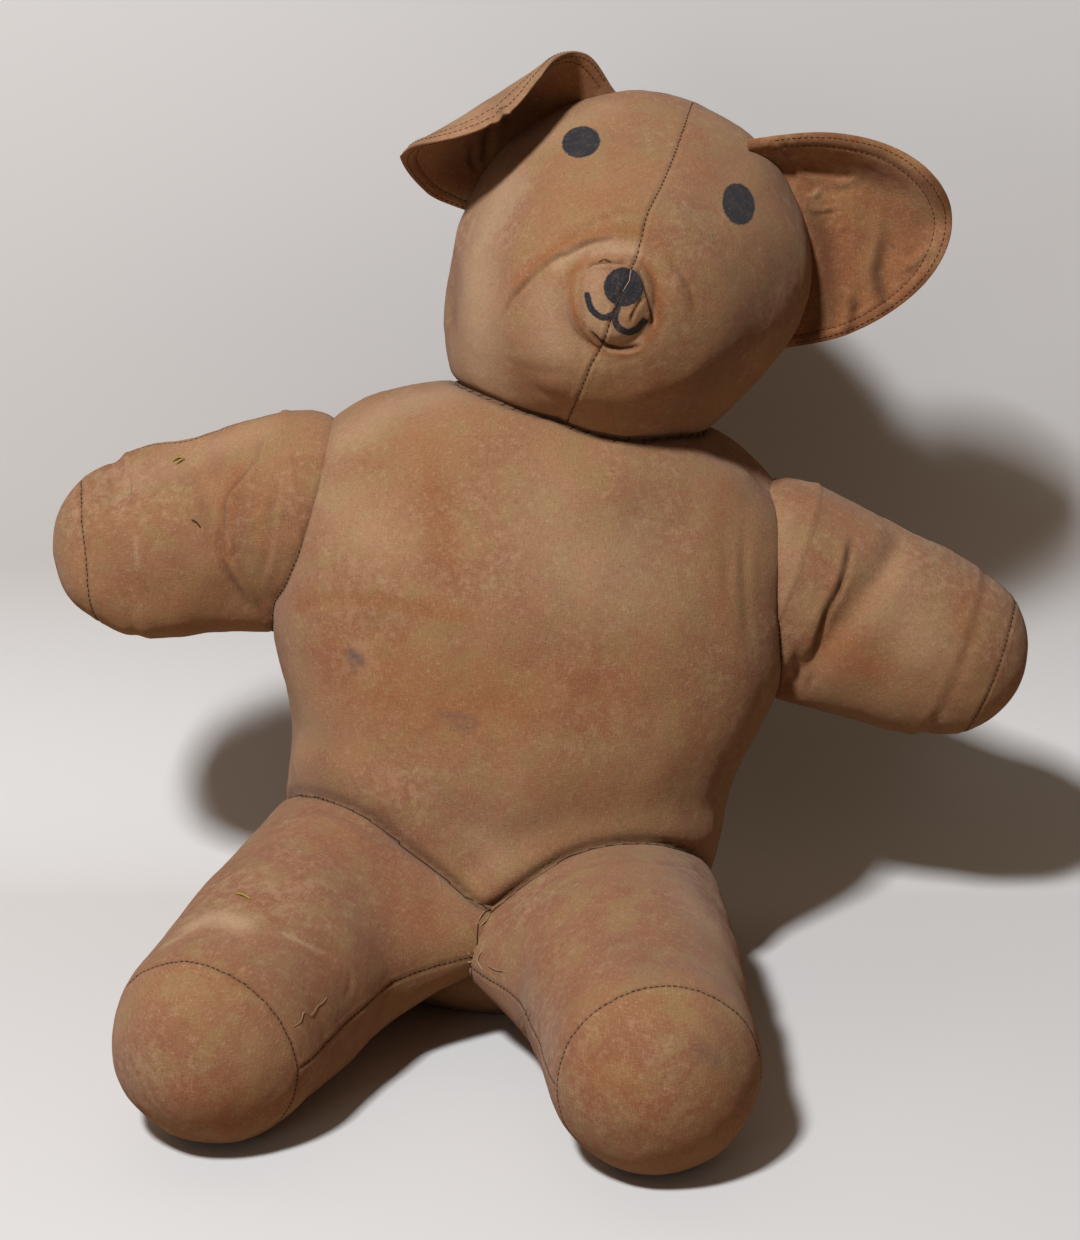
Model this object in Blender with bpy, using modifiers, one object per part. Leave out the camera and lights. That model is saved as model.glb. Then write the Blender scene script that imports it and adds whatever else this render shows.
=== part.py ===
"""A threadbare cloth teddy bear, sewn from cotton panels round two lumps of stuffing, sitting on the floor.

Units are metres. +Z is up, the bear faces -Y, so its own right is -X and its left is +X.
The origin is the middle of the flat on which the seat rests.
"""

import math

import bmesh
import bpy
from mathutils import Matrix, Vector

# Cloth, ink and the clearances between pieces
CLOTH = 0.0012
SEAM_GAP = 0.0004
INK = 0.0004
LIMB_FILLING_SLACK = 0.0014

# Torso, measured along the spine from the floor
SPINE_ROLL = math.radians(8.4)
SPINE_FOOT = -0.004
SPINE_LEAN = math.radians(14)
TORSO_TOP = 0.273
SEAT_SQUASH = 0.014
TORSO_SQUARENESS = 3.6
TORSO_FULLNESS = 0.06
HIP_HEIGHT = 0.030
HIP_HALF_WIDTH = 0.102
HIP_HALF_DEPTH = 0.081
WAIST_HEIGHT = 0.095
WAIST_HALF_WIDTH = 0.1015
WAIST_HALF_DEPTH = 0.082
CHEST_HEIGHT = 0.165
CHEST_HALF_WIDTH = 0.120
CHEST_HALF_DEPTH = 0.078
SHOULDER_HEIGHT = 0.238
SHOULDER_HALF_WIDTH = 0.118
SHOULDER_HALF_DEPTH = 0.069
SIDE_SEAM_DEPTH = 0.004
CROTCH_HEIGHT = 0.046

# Arms, measured from the shoulder seam along the arm
ARM_LENGTH = {"right": 0.115, "left": 0.123}
ARM_ROOT = 0.046
ARM_PITCH_HEIGHT = 0.198
ARM_PITCH_HALF_WIDTH = 0.110
ARM_SHOULDER_RADIUS = 0.0500
ARM_ELBOW_RADIUS = 0.0450
ARM_WRIST_RADIUS = 0.0400
ARM_FLATNESS = 0.72
ARM_BLUNTNESS = 0.95
ARM_DROOP = {"right": math.radians(16), "left": math.radians(12.5)}
PAW_TIP = 0.016
ARM_FOLD_PLACE = 0.032
ARM_FOLD_WIDTH = 0.0075
ARM_FOLD_DEPTH = 0.0055
ARM_FOLD_SLANT = 0.30

# Legs, measured from the hip centre along the leg
LEG_LENGTH = {"right": 0.166, "left": 0.184}
LEG_ROOT = 0.046
LEG_DOME = {"right": 0.034, "left": 0.029}
LEG_FLATNESS = {"right": 1.0, "left": 0.83}
LEG_FLARE = {"right": 0.66, "left": 0.42}
LEG_FLARE_END = {"right": 0.085, "left": 0.105}
LEG_FLARE_LENGTH = 0.040
LEG_BLUNTNESS = 1.5
THIGH_RADIUS = 0.0515
HIP_OUT = {"right": 0.0490, "left": 0.0560}
SHIN_RADIUS = 0.0498
ANKLE_RADIUS = 0.0450
FOOT_SQUASH = 0.0012
HIP_CLEARANCE = 0.0035
HIP_FORWARD = 0.008
LEG_SPLAY = {"right": math.radians(22.5), "left": math.radians(6.5)}

# Head, its own frame at its middle; the muzzle is a turned form round the forward axis
HEAD_RISE = 0.0635
HEAD_SIDEWAYS = 0.023
HEAD_FORWARD = 0.011
HEAD_ROLL = math.radians(13)
HEAD_NOD = math.radians(5.5)
HEAD_TURN = math.radians(-6)
HEAD_HALF_WIDTH = 0.0810
HEAD_HALF_HEIGHT = 0.0775
HEAD_HALF_DEPTH = 0.0720
CHIN_DROP = 0.008
JOWL = 0.14
MUZZLE_RADIUS = 0.033
MUZZLE_RISE = 0.008
MUZZLE_DROP = 0.0125
PUCKER_RADIUS = 0.0195
PUCKER_DEPTH = 0.0045
SNOUT_RADIUS = 0.0175
SNOUT_RISE = 0.013
SNOUT_TALLNESS = 1.12
FACE_SEAM_DEPTH = 0.006

# Face, painted on the cloth; heights are from the head's middle
EYE_RADIUS = 0.0086
EYE_HALF_SPACING = 0.0375
EYES_SIDEWAYS = -0.003
EYE_HEIGHT = 0.0432
NOSE_RADIUS = 0.0092
NOSE_ABOVE_SNOUT = 0.0060
MOUTH_ARC_RADIUS = 0.0072
MOUTH_LINE = 0.0026
MOUTH_BELOW_SNOUT = 0.0035

# Ears, each two layers of cloth; the chord is where the ear enters the head
EAR_CHORD = 0.100
EAR_REACH = 0.079
EAR_CHORD_MIDDLE_OUT = 0.058
EAR_CHORD_MIDDLE_UP = 0.033
EAR_TILT = math.radians(26.6)
EAR_BACK = 0.004
EAR_SWING = {"right": math.radians(17.5), "left": math.radians(-16)}
EAR_SWING_TWIST = {"right": math.radians(3.5), "left": 0.0}
EAR_CURL = {"right": math.radians(106), "left": math.radians(34)}
EAR_TWIST = {"right": 0.18, "left": 0.0}
EAR_LEAN = {"right": -0.20, "left": 0.07}

# How finely each form is divided
TORSO_SEGMENTS = 20
TORSO_RINGS = 12
ARM_SEGMENTS = 16
LEG_SEGMENTS = 16
DOME_RINGS = 4
HEAD_SEGMENTS = 20
HEAD_BACK_RINGS = 6
HEAD_FRONT_RINGS = 5
EAR_DIVISIONS = 6
WELD = 0.000003
SIDES = {"right": -1, "left": 1}
FAR = 1.0

# Colours of the worn cloth, the stuffing and the paint
PLAIN_CLOTH = (0.40, 0.235, 0.135, 1)
FADED_CLOTH = (0.43, 0.265, 0.160, 1)
RUSTY_CLOTH = (0.36, 0.195, 0.105, 1)
KAPOK = (0.62, 0.53, 0.38, 1)
PAINT = (0.045, 0.045, 0.055, 1)


def material(name, colour, roughness):
    """A plain Principled material, made once for each name."""
    made = bpy.data.materials.get(name)
    if made is None:
        made = bpy.data.materials.new(name)
        made.use_nodes = True
        shader = made.node_tree.nodes["Principled BSDF"]
        shader.inputs["Base Color"].default_value = colour
        shader.inputs["Roughness"].default_value = roughness
        shader.inputs["Metallic"].default_value = 0
    return made


def new_object(name, mesh_data):
    """Links a new object holding this bmesh to the scene, and frees the bmesh."""
    mesh = bpy.data.meshes.new(name)
    mesh_data.to_mesh(mesh)
    mesh_data.free()
    made = bpy.data.objects.new(name, mesh)
    bpy.context.scene.collection.objects.link(made)
    return made


def copy_of(source, name):
    """A copy of an object with a mesh of its own."""
    made = bpy.data.objects.new(name, source.data.copy())
    bpy.context.scene.collection.objects.link(made)
    return made


def discard(*objects):
    """Removes objects that were only used to shape others."""
    for each in objects:
        bpy.data.objects.remove(each)


def baked(target):
    """The target with its modifiers applied to its mesh."""
    graph = bpy.context.evaluated_depsgraph_get()
    target.data = bpy.data.meshes.new_from_object(target.evaluated_get(graph))
    target.modifiers.clear()
    data = bmesh.new()
    data.from_mesh(target.data)
    bmesh.ops.remove_doubles(data, verts=data.verts, dist=WELD)
    bmesh.ops.dissolve_degenerate(data, edges=data.edges, dist=WELD)
    bmesh.ops.triangulate(data, faces=data.faces)
    data.to_mesh(target.data)
    data.free()
    return target


def boolean(target, cutter, operation):
    """Cuts, joins or keeps the target by the cutter, which stays as it is."""
    modifier = target.modifiers.new(operation.title(), "BOOLEAN")
    modifier.object = cutter
    modifier.operation = operation
    return baked(target)


def carved(target, *cutters):
    """The target less each of the cutters."""
    for cutter in cutters:
        boolean(target, cutter, "DIFFERENCE")
    return target


def block(frame, low, high):
    """A box from one corner to the other, its sides along the frame's axes."""
    low, high = Vector(low), Vector(high)
    data = bmesh.new()
    size = Matrix.Diagonal((*(high - low), 1))
    bmesh.ops.create_cube(data, size=1, matrix=frame @ Matrix.Translation((low + high) / 2) @ size)
    return new_object("block", data)


def kept(target, frame, low, high):
    """The target's part that lies inside the box."""
    box = block(frame, low, high)
    boolean(target, box, "INTERSECT")
    discard(box)
    return target


def smooth(share):
    """Goes from 0 to 1 with no corner at either end."""
    share = min(max(share, 0.0), 1.0)
    return share * share * (3 - 2 * share)


def through(stations, place):
    """A size that passes smoothly through stations of (place, size)."""
    if place <= stations[0][0]:
        return stations[0][1]
    for (start, before), (end, after) in zip(stations, stations[1:]):
        if place <= end:
            return before + (after - before) * smooth((place - start) / (end - start))
    return stations[-1][1]


class Form:
    """A stuffed form: a profile turned about local Z, shaped point by point, placed, and flattened by the floor."""

    def __init__(self, profile, segments, place, shape, core=None):
        self.profile = profile
        self.segments = segments
        self.place = place
        self.shape = shape
        self.core = core or shape

    def solid(self, inset=0.0):
        """A closed solid of the form, with its surface moved inwards by inset."""
        return self.turned(inset, self.segments, self.shape)

    def turned(self, inset, segments, shape):
        """The solid with this many segments, shaped by this function."""
        data = bmesh.new()
        points = [data.verts.new((radius, 0, height)) for radius, height in self.profile]
        lines = [data.edges.new(ends) for ends in zip(points, points[1:])]
        bmesh.ops.spin(
            data,
            geom=points + lines,
            cent=(0, 0, 0),
            axis=(0, 0, 1),
            angle=math.tau,
            steps=segments,
            use_merge=True,
        )
        bmesh.ops.remove_doubles(data, verts=data.verts, dist=1e-6)
        for point in data.verts:
            point.co = self.place @ shape(point.co)
            point.co.z = max(point.co.z, 0.0)
        bmesh.ops.recalc_face_normals(data, faces=data.faces)
        if data.calc_volume(signed=True) < 0:
            bmesh.ops.reverse_faces(data, faces=data.faces)
        data.normal_update()
        bmesh.ops.triangulate(data, faces=data.faces)
        moves = [(point, point.normal * point.calc_shell_factor() * inset) for point in data.verts]
        for point, move in moves:
            point.co -= move
        return new_object("form", data)

    def shell(self):
        """The cloth cover of the form, still in one piece and closed."""
        inner = self.solid(CLOTH)
        cover = carved(self.solid(), inner)
        discard(inner)
        return cover

    def cutter(self):
        """The form grown by the seam clearance, to cut the pieces that it is sewn to."""
        return self.solid(-SEAM_GAP)

    def filling(self, slack=0.0, coarseness=2):
        """The stuffing that the cover holds, slacker than a snug fit by this much."""
        return self.turned(CLOTH + SEAM_GAP + slack, self.segments // coarseness, self.core)


def torso_frame():
    """The spine's frame: it leans back and towards the bear's left."""
    return Matrix.Translation((SPINE_FOOT, 0, 0)) @ Matrix.Rotation(SPINE_ROLL, 4, "Y") @ Matrix.Rotation(-SPINE_LEAN, 4, "X")


def torso_form():
    """A barrel with rounded shoulders, wider than it is deep."""
    widths = (
        (HIP_HEIGHT, HIP_HALF_WIDTH),
        (WAIST_HEIGHT, WAIST_HALF_WIDTH),
        (CHEST_HEIGHT, CHEST_HALF_WIDTH),
        (SHOULDER_HEIGHT, SHOULDER_HALF_WIDTH),
    )
    depths = (
        (HIP_HEIGHT, HIP_HALF_DEPTH),
        (WAIST_HEIGHT, WAIST_HALF_DEPTH),
        (CHEST_HEIGHT, CHEST_HALF_DEPTH),
        (SHOULDER_HEIGHT, SHOULDER_HALF_DEPTH),
    )
    length = TORSO_TOP + SEAT_SQUASH
    profile = []
    for ring in range(TORSO_RINGS + 1):
        level = -math.cos(math.pi * ring / TORSO_RINGS)
        fullness = (1 - abs(level) ** TORSO_SQUARENESS) ** (1 / TORSO_SQUARENESS)
        profile.append((fullness, -SEAT_SQUASH + length * (level + 1) / 2))

    def shape(point):
        fuller = 1 + TORSO_FULLNESS * (2 * point.x * point.y) ** 2
        across, deep = fuller * through(widths, point.z), fuller * through(depths, point.z)
        return Vector((point.x * across, point.y * deep, point.z))

    return Form(profile, TORSO_SEGMENTS, torso_frame(), shape)


def limb_profile(root, end, dome, places, radii):
    """A tube from its hidden root to a domed tip, with rings at the places and radii at stations along it."""
    profile = [(0.0, -root), (through(radii, 0) * 0.8, -root * 0.6)]
    profile.extend((through(radii, place), place) for place in places)
    tip = through(radii, end)
    for ring in range(DOME_RINGS + 1):
        angle = math.pi / 2 * ring / DOME_RINGS
        profile.append((tip * math.cos(angle) if ring < DOME_RINGS else 0.0, end - dome + dome * math.sin(angle)))
    return profile


def arm_frame(side):
    """Local Z runs from the shoulder seam to the paw and local X up."""
    out = SIDES[side]
    droop = ARM_DROOP[side]
    along = Vector((out * math.cos(droop), 0, -math.sin(droop)))
    up = Vector((out * math.sin(droop), 0, math.cos(droop)))
    axes = Matrix((up, along.cross(up), along)).transposed().to_4x4()
    pitch = Matrix.Translation((out * ARM_PITCH_HALF_WIDTH, 0, ARM_PITCH_HEIGHT))
    return torso_frame() @ pitch @ axes


def arm_form(side):
    """A blunt tube, flatter than it is tall, with a fold pressed into its front near the shoulder."""
    length = ARM_LENGTH[side]
    radii = (
        (0.0, ARM_SHOULDER_RADIUS),
        (length * 0.5, ARM_ELBOW_RADIUS),
        (length * 0.85, ARM_WRIST_RADIUS),
    )
    steps = (-2.5, -1, 0, 1, 2.5)
    places = [0.0] + [ARM_FOLD_PLACE + ARM_FOLD_WIDTH * step for step in steps] + [length * 0.53]
    profile = limb_profile(ARM_ROOT, length, ARM_WRIST_RADIUS * ARM_BLUNTNESS, places, radii)
    front = SIDES[side]

    def shape(point):
        around = math.atan2(point.y * front, -point.x)
        facing_front = smooth(math.sin(around) * 1.4) if point.length > 0 else 0
        place = ARM_FOLD_PLACE + ARM_FOLD_SLANT * point.x
        fold = ARM_FOLD_DEPTH * math.exp(-(((point.z - place) / ARM_FOLD_WIDTH) ** 2))
        radius = max(math.hypot(point.x, point.y), 1e-9)
        pressed = 1 - fold * facing_front / radius if radius > ARM_FOLD_DEPTH * 2 else 1
        return Vector((point.x * pressed, point.y * pressed * ARM_FLATNESS, point.z))

    return Form(profile, ARM_SEGMENTS, arm_frame(side), shape)


def leg_frame(side):
    """Local Z runs from the hip centre to the sole, local X outwards-down and local Y up."""
    out = SIDES[side]
    hip_height = THIGH_RADIUS * LEG_FLATNESS[side] + HIP_CLEARANCE
    hip = Vector((SPINE_FOOT + out * HIP_OUT[side], -HIP_FORWARD, hip_height))
    sink = hip.z - (ANKLE_RADIUS - FOOT_SQUASH)
    slope = math.asin(sink / (LEG_LENGTH[side] - LEG_DOME[side]))
    splay = LEG_SPLAY[side]
    along = Vector((out * math.sin(splay) * math.cos(slope), -math.cos(splay) * math.cos(slope), -math.sin(slope)))
    across = along.cross(Vector((0, 0, 1))).normalized()
    axes = Matrix((across, along.cross(across), along)).transposed().to_4x4()
    return Matrix.Translation(hip) @ axes


def leg_form(side):
    """A plump tube from the hip to the domed sole."""
    length = LEG_LENGTH[side]
    radii = (
        (0.0, THIGH_RADIUS),
        (length * 0.5, SHIN_RADIUS),
        (length * 0.9, ANKLE_RADIUS),
    )
    dome = LEG_DOME[side]
    places = [length * share for share in (0.0, 0.17, 0.34, 0.51, 0.68)]
    profile = limb_profile(LEG_ROOT, length + dome, dome * LEG_BLUNTNESS, places, radii)
    out = SIDES[side]

    def core(point):
        towards_foot = smooth(point.z / (length * 0.6))
        flatness = LEG_FLATNESS[side] + (1 - LEG_FLATNESS[side]) * towards_foot
        return Vector((point.x, point.y * flatness, point.z))

    def shape(point):
        flare = LEG_FLARE[side] * smooth((LEG_FLARE_END[side] - point.z) / LEG_FLARE_LENGTH)
        spread = math.hypot(point.x, point.y)
        level = (point.x / spread) ** 6 if point.x * out > 0 and spread > 0 else 0
        widened = 1 + flare * level
        plain = core(point)
        return Vector((plain.x * widened, plain.y, plain.z))

    return Form(profile, LEG_SEGMENTS, leg_frame(side), shape, core)


def own_side(target, side, gap):
    """The target's part on this side of the body's middle, short of it by the gap."""
    low_x, high_x = sorted((SIDES[side] * gap, SIDES[side] * FAR))
    return kept(target, torso_frame(), (low_x, -FAR, -FAR), (high_x, FAR, FAR))


def head_frame():
    """The head's middle, tipped towards the bear's left and turned a little to its right."""
    middle = Matrix.Translation((HEAD_SIDEWAYS, -HEAD_FORWARD, TORSO_TOP + HEAD_RISE))
    roll = Matrix.Rotation(HEAD_ROLL, 4, "Y")
    nod = Matrix.Rotation(HEAD_NOD, 4, "X")
    turn = Matrix.Rotation(HEAD_TURN, 4, "Z")
    return torso_frame() @ middle @ roll @ nod @ turn


def head_profile():
    """The head turned about its forward axis: the back, the cheeks, the muzzle's roll, the pucker and the snout."""
    profile = []
    for ring in range(HEAD_BACK_RINGS + 1):
        angle = math.pi / 2 * ring / HEAD_BACK_RINGS
        profile.append((math.sin(angle), -HEAD_HALF_DEPTH * math.cos(angle)))
    muzzle_share = MUZZLE_RADIUS / HEAD_HALF_WIDTH
    cheek_end = math.asin(muzzle_share)
    for ring in range(1, HEAD_FRONT_RINGS + 1):
        angle = math.pi / 2 + (cheek_end - math.pi / 2) * ring / HEAD_FRONT_RINGS
        lift = MUZZLE_RISE * smooth((ring - 2) / (HEAD_FRONT_RINGS - 2))
        profile.append((math.sin(angle), HEAD_HALF_DEPTH * math.cos(angle) + lift))
    rim = profile[-1][1]
    inner = (
        (PUCKER_RADIUS * 1.25, rim + PUCKER_DEPTH * 0.8),
        (PUCKER_RADIUS, rim),
        (SNOUT_RADIUS * 0.97, rim + SNOUT_RISE * 0.35),
        (SNOUT_RADIUS * 0.82, rim + SNOUT_RISE * 0.75),
        (SNOUT_RADIUS * 0.45, rim + SNOUT_RISE * 0.97),
        (0.0, rim + SNOUT_RISE),
    )
    profile.extend((radius / HEAD_HALF_WIDTH, height) for radius, height in inner)
    return profile


def head_form():
    """A round head with a full chin and a small turned-up muzzle."""

    def shape(point):
        forward = point.z
        across = point.x * HEAD_HALF_WIDTH
        snout = smooth((forward - HEAD_HALF_DEPTH * 0.8) / (MUZZLE_RISE + SNOUT_RISE))
        up = point.y * (HEAD_HALF_HEIGHT + (HEAD_HALF_WIDTH * SNOUT_TALLNESS - HEAD_HALF_HEIGHT) * snout)
        muzzle = smooth((forward + HEAD_HALF_DEPTH * 0.2) / HEAD_HALF_DEPTH)
        chin = CHIN_DROP * smooth(-point.y) * (1 - muzzle)
        jowl = 1 + JOWL * 2.6 * abs(point.x) * min(point.y, 0) ** 2
        return Vector((across * jowl, -forward, up * jowl - MUZZLE_DROP * muzzle - chin))

    return Form(head_profile(), HEAD_SEGMENTS, head_frame(), shape)


def ear_layer(side, front):
    """One of an ear's two layers of cloth, a D-shaped sheet that curls forwards from its chord."""
    out = SIDES[side]
    outward = Vector((out * math.cos(EAR_TILT), 0, math.sin(EAR_TILT)))
    along = Vector((-out * math.sin(EAR_TILT), 0, math.cos(EAR_TILT)))
    forward = Vector((0, -1, 0))
    middle = Vector((out * EAR_CHORD_MIDDLE_OUT, EAR_BACK, EAR_CHORD_MIDDLE_UP))
    data = bmesh.new()
    bmesh.ops.create_grid(data, x_segments=EAR_DIVISIONS, y_segments=EAR_DIVISIONS, size=1)
    for point in data.verts:
        across, reach = point.co.x, (point.co.y + 1) / 2
        length = reach * math.sqrt(1 - across**2 / 2) * EAR_REACH
        chord = across * math.sqrt(1 - reach**2 / 2) * EAR_CHORD / 2 + EAR_LEAN[side] * length
        swing = EAR_SWING[side] + EAR_SWING_TWIST[side] * across
        turn = EAR_CURL[side] * (1 + EAR_TWIST[side] * across) / EAR_REACH
        outwards = (math.sin(swing + turn * length) - math.sin(swing)) / turn
        forwards = (math.cos(swing) - math.cos(swing + turn * length)) / turn
        point.co = middle + along * chord + outward * outwards + forward * forwards
    data.normal_update()
    towards_front = 1 if data.faces[:][0].normal.dot(forward) > 0 else -1
    layer_side = towards_front if front else -towards_front
    for point in data.verts:
        point.co += point.normal * layer_side * SEAM_GAP / 2
    data.transform(head_frame())
    layer = new_object("ear", data)
    thicken = layer.modifiers.new("Cloth", "SOLIDIFY")
    thicken.thickness = CLOTH
    thicken.offset = layer_side
    return baked(layer)


def panel(name, source, frame, low, high, look):
    """A named panel of cloth: the part of its cover inside the box."""
    made = kept(copy_of(source, name), frame, low, high)
    return finish(made, name, look)


def finish(made, name, look):
    """Names a finished piece, gives it its material and shades it smooth between its cut edges."""
    made.name = name
    made.data.name = name
    made.data.materials.clear()
    made.data.materials.append(look)
    made.data.shade_smooth()
    made.data.set_sharp_from_angle(angle=math.radians(50))
    return made


def build_arm(side, torso_cutter):
    """The sleeve's front and back panels and the round panel that closes its end."""
    form, frame = arm_form(side), arm_frame(side)
    front = SIDES[side]
    cover = carved(form.shell(), torso_cutter)
    half = SEAM_GAP / 2
    paw_seam = ARM_LENGTH[side] - PAW_TIP
    plain, rusty = material("plain_cloth", PLAIN_CLOTH, 0.95), material("rusty_cloth", RUSTY_CLOTH, 0.95)
    panel(f"arm_{side}_paw", cover, frame, (-FAR, -FAR, paw_seam + half), (FAR, FAR, FAR), rusty)
    for name, way in (("front", front), ("back", -front)):
        low_y, high_y = sorted((way * half, way * FAR))
        low, high = (-FAR, low_y, -FAR), (FAR, high_y, paw_seam - half)
        panel(f"arm_{side}_{name}", cover, frame, low, high, plain)
    discard(cover)


def build_leg(side, torso_cutter):
    """The thigh's top panel, the panel beneath it and the sole."""
    form, frame = leg_form(side), leg_frame(side)
    half = SEAM_GAP / 2
    cover = own_side(carved(form.shell(), torso_cutter), side, half)
    faded, rusty = material("faded_cloth", FADED_CLOTH, 0.95), material("rusty_cloth", RUSTY_CLOTH, 0.95)
    upper = 1 if (frame.to_3x3() @ Vector((0, 1, 0))).z > 0 else -1
    panel(f"leg_{side}_sole", cover, frame, (-FAR, -FAR, LEG_LENGTH[side] + half), (FAR, FAR, FAR), rusty)
    for name, way in (("top", upper), ("under", -upper)):
        low_y, high_y = sorted((way * half, way * FAR))
        low, high = (-FAR, low_y, -FAR), (FAR, high_y, LEG_LENGTH[side] - half)
        panel(f"leg_{side}_{name}", cover, frame, low, high, faded)
    discard(cover)


def build_torso(form, sewn_on):
    """The belly panel and the two back panels, which meet under the seat, with openings for what is sewn on."""
    frame = torso_frame()
    cover = carved(form.shell(), *sewn_on)
    plain = material("plain_cloth", PLAIN_CLOTH, 0.95)
    half = SEAM_GAP / 2
    belly_low, belly_high = (-FAR, -FAR, CROTCH_HEIGHT), (FAR, SIDE_SEAM_DEPTH, FAR)
    panel("torso_belly", cover, frame, belly_low, belly_high, plain)
    belly = block(frame, (-FAR, -FAR, CROTCH_HEIGHT - SEAM_GAP), (FAR, SIDE_SEAM_DEPTH + SEAM_GAP, FAR))
    carved(cover, belly)
    for side, out in SIDES.items():
        low_x, high_x = sorted((out * half, out * FAR))
        panel(f"torso_back_{side}", cover, frame, (low_x, -FAR, -FAR), (high_x, FAR, FAR), plain)
    discard(cover, belly)


def build_head(form, torso_cutter):
    """The two halves of the face, joined down the middle, and the back of the head."""
    frame = head_frame()
    cover = carved(form.shell(), torso_cutter)
    plain = material("plain_cloth", PLAIN_CLOTH, 0.95)
    half = SEAM_GAP / 2
    for side, out in SIDES.items():
        low_x, high_x = sorted((out * half, out * FAR))
        low, high = (low_x, -FAR, -FAR), (high_x, FACE_SEAM_DEPTH - half, FAR)
        panel(f"head_face_{side}", cover, frame, low, high, plain)
    panel("head_back", cover, frame, (-FAR, FACE_SEAM_DEPTH + half, -FAR), (FAR, FAR, FAR), plain)
    discard(cover)


def build_ears(head_cutter):
    """Both ears, each with a front layer and a back layer that end at the head's surface."""
    faded, rusty = material("faded_cloth", FADED_CLOTH, 0.95), material("rusty_cloth", RUSTY_CLOTH, 0.95)
    for side in SIDES:
        for name, front, look in (("front", True, rusty), ("back", False, faded)):
            layer = carved(ear_layer(side, front), head_cutter)
            finish(layer, f"ear_{side}_{name}", look)


def patch(outline):
    """A rod along the head's forward axis with this outline, given as points across and up the face."""
    data = bmesh.new()
    rim = [data.verts.new((across, -FAR, up)) for across, up in outline]
    swept = bmesh.ops.extrude_face_region(data, geom=[data.faces.new(rim)])
    moved = [each for each in swept["geom"] if isinstance(each, bmesh.types.BMVert)]
    bmesh.ops.translate(data, verts=moved, vec=(0, FAR, 0))
    bmesh.ops.recalc_face_normals(data, faces=data.faces)
    data.transform(head_frame())
    return new_object("patch", data)


def arc(centre, radius, start, end, steps):
    """Points along an arc, from one angle to another."""
    turns = [start + (end - start) * step / steps for step in range(steps + 1)]
    return [(centre[0] + radius * math.cos(turn), centre[1] + radius * math.sin(turn)) for turn in turns]


def spot(across, up, radius):
    """A round painted spot."""
    return patch(arc((across, up), radius, 0, math.tau, 16)[:-1])


def smile():
    """Two arcs that meet under the nose, like a wide letter W with round bottoms."""
    level = -MUZZLE_DROP - MOUTH_BELOW_SNOUT
    outer, inner = MOUTH_ARC_RADIUS + MOUTH_LINE / 2, MOUTH_ARC_RADIUS - MOUTH_LINE / 2
    left, right = (MOUTH_ARC_RADIUS, level), (-MOUTH_ARC_RADIUS, level)
    meet = math.acos(MOUTH_ARC_RADIUS / outer)
    below = arc(right, outer, -math.pi, -meet, 5) + arc(left, outer, meet - math.pi, 0, 5)
    above = arc(left, inner, 0, -math.pi, 5) + arc(right, inner, 0, -math.pi, 5)
    return patch(below + above)


def build_face_paint(form):
    """The painted eyes, nose and mouth, as thin fields that lie on the cloth."""
    under, over = form.solid(-SEAM_GAP), form.solid(-SEAM_GAP - INK)
    film = carved(over, under)
    paint = material("paint", PAINT, 0.7)
    fields = {
        "eye_right": spot(EYES_SIDEWAYS - EYE_HALF_SPACING, EYE_HEIGHT, EYE_RADIUS),
        "eye_left": spot(EYES_SIDEWAYS + EYE_HALF_SPACING, EYE_HEIGHT, EYE_RADIUS),
        "nose": spot(0, NOSE_ABOVE_SNOUT - MUZZLE_DROP, NOSE_RADIUS),
        "mouth": smile(),
    }
    for name, field in fields.items():
        painted = copy_of(film, name)
        boolean(painted, field, "INTERSECT")
        finish(painted, name, paint)
    discard(under, film, *fields.values())


def build_stuffing(torso, limbs, head):
    """One lump of stuffing that fills the torso, arms and legs, and one for the head."""
    kapok = material("kapok", KAPOK, 1.0)
    lump = torso.filling(coarseness=1)
    for limb in limbs:
        filling = limb.filling(LIMB_FILLING_SLACK)
        boolean(lump, filling, "UNION")
        discard(filling)
    finish(lump, "stuffing_body", kapok)
    torso_room = torso.solid(CLOTH)
    head_lump = carved(head.filling(LIMB_FILLING_SLACK), torso_room)
    discard(torso_room)
    finish(head_lump, "stuffing_head", kapok)


def main():
    for each in list(bpy.data.objects):
        bpy.data.objects.remove(each)
    torso, head = torso_form(), head_form()
    arms = [arm_form(side) for side in SIDES]
    legs = [leg_form(side) for side in SIDES]
    torso_cutter, head_cutter = torso.cutter(), head.cutter()
    leg_cutters = [own_side(leg.cutter(), side, -SEAM_GAP / 2) for leg, side in zip(legs, SIDES)]
    sewn_on = [arm.cutter() for arm in arms] + leg_cutters + [head_cutter]
    build_torso(torso, sewn_on)
    for side in SIDES:
        build_arm(side, torso_cutter)
        build_leg(side, torso_cutter)
    build_head(head, torso_cutter)
    build_ears(head_cutter)
    build_face_paint(head)
    build_stuffing(torso, arms + legs, head)
    discard(torso_cutter, *sewn_on)
    bear = bpy.data.collections.new("teddy_bear")
    bpy.context.scene.collection.children.link(bear)
    for piece in list(bpy.context.scene.collection.objects):
        bpy.context.scene.collection.objects.unlink(piece)
        bear.objects.link(piece)


main()
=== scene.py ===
"""Dresses the frame of a threadbare cotton teddy bear: its stuffed cloth, folds, seams, stitches, stains and paint.

Units are metres. The bear faces -Y, so its own right is -X and its left is +X. Points that are given in pixels are
places of the photograph, taken as 1080 by 1240, and are carried onto the cloth along the camera's line of sight.
"""
import itertools
import logging
import math
from collections.abc import Callable, Iterable, Sequence
from dataclasses import dataclass
from enum import Enum

import bpy
import numpy as np
from mathutils import Matrix, Vector
from mathutils.bvhtree import BVHTree


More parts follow.
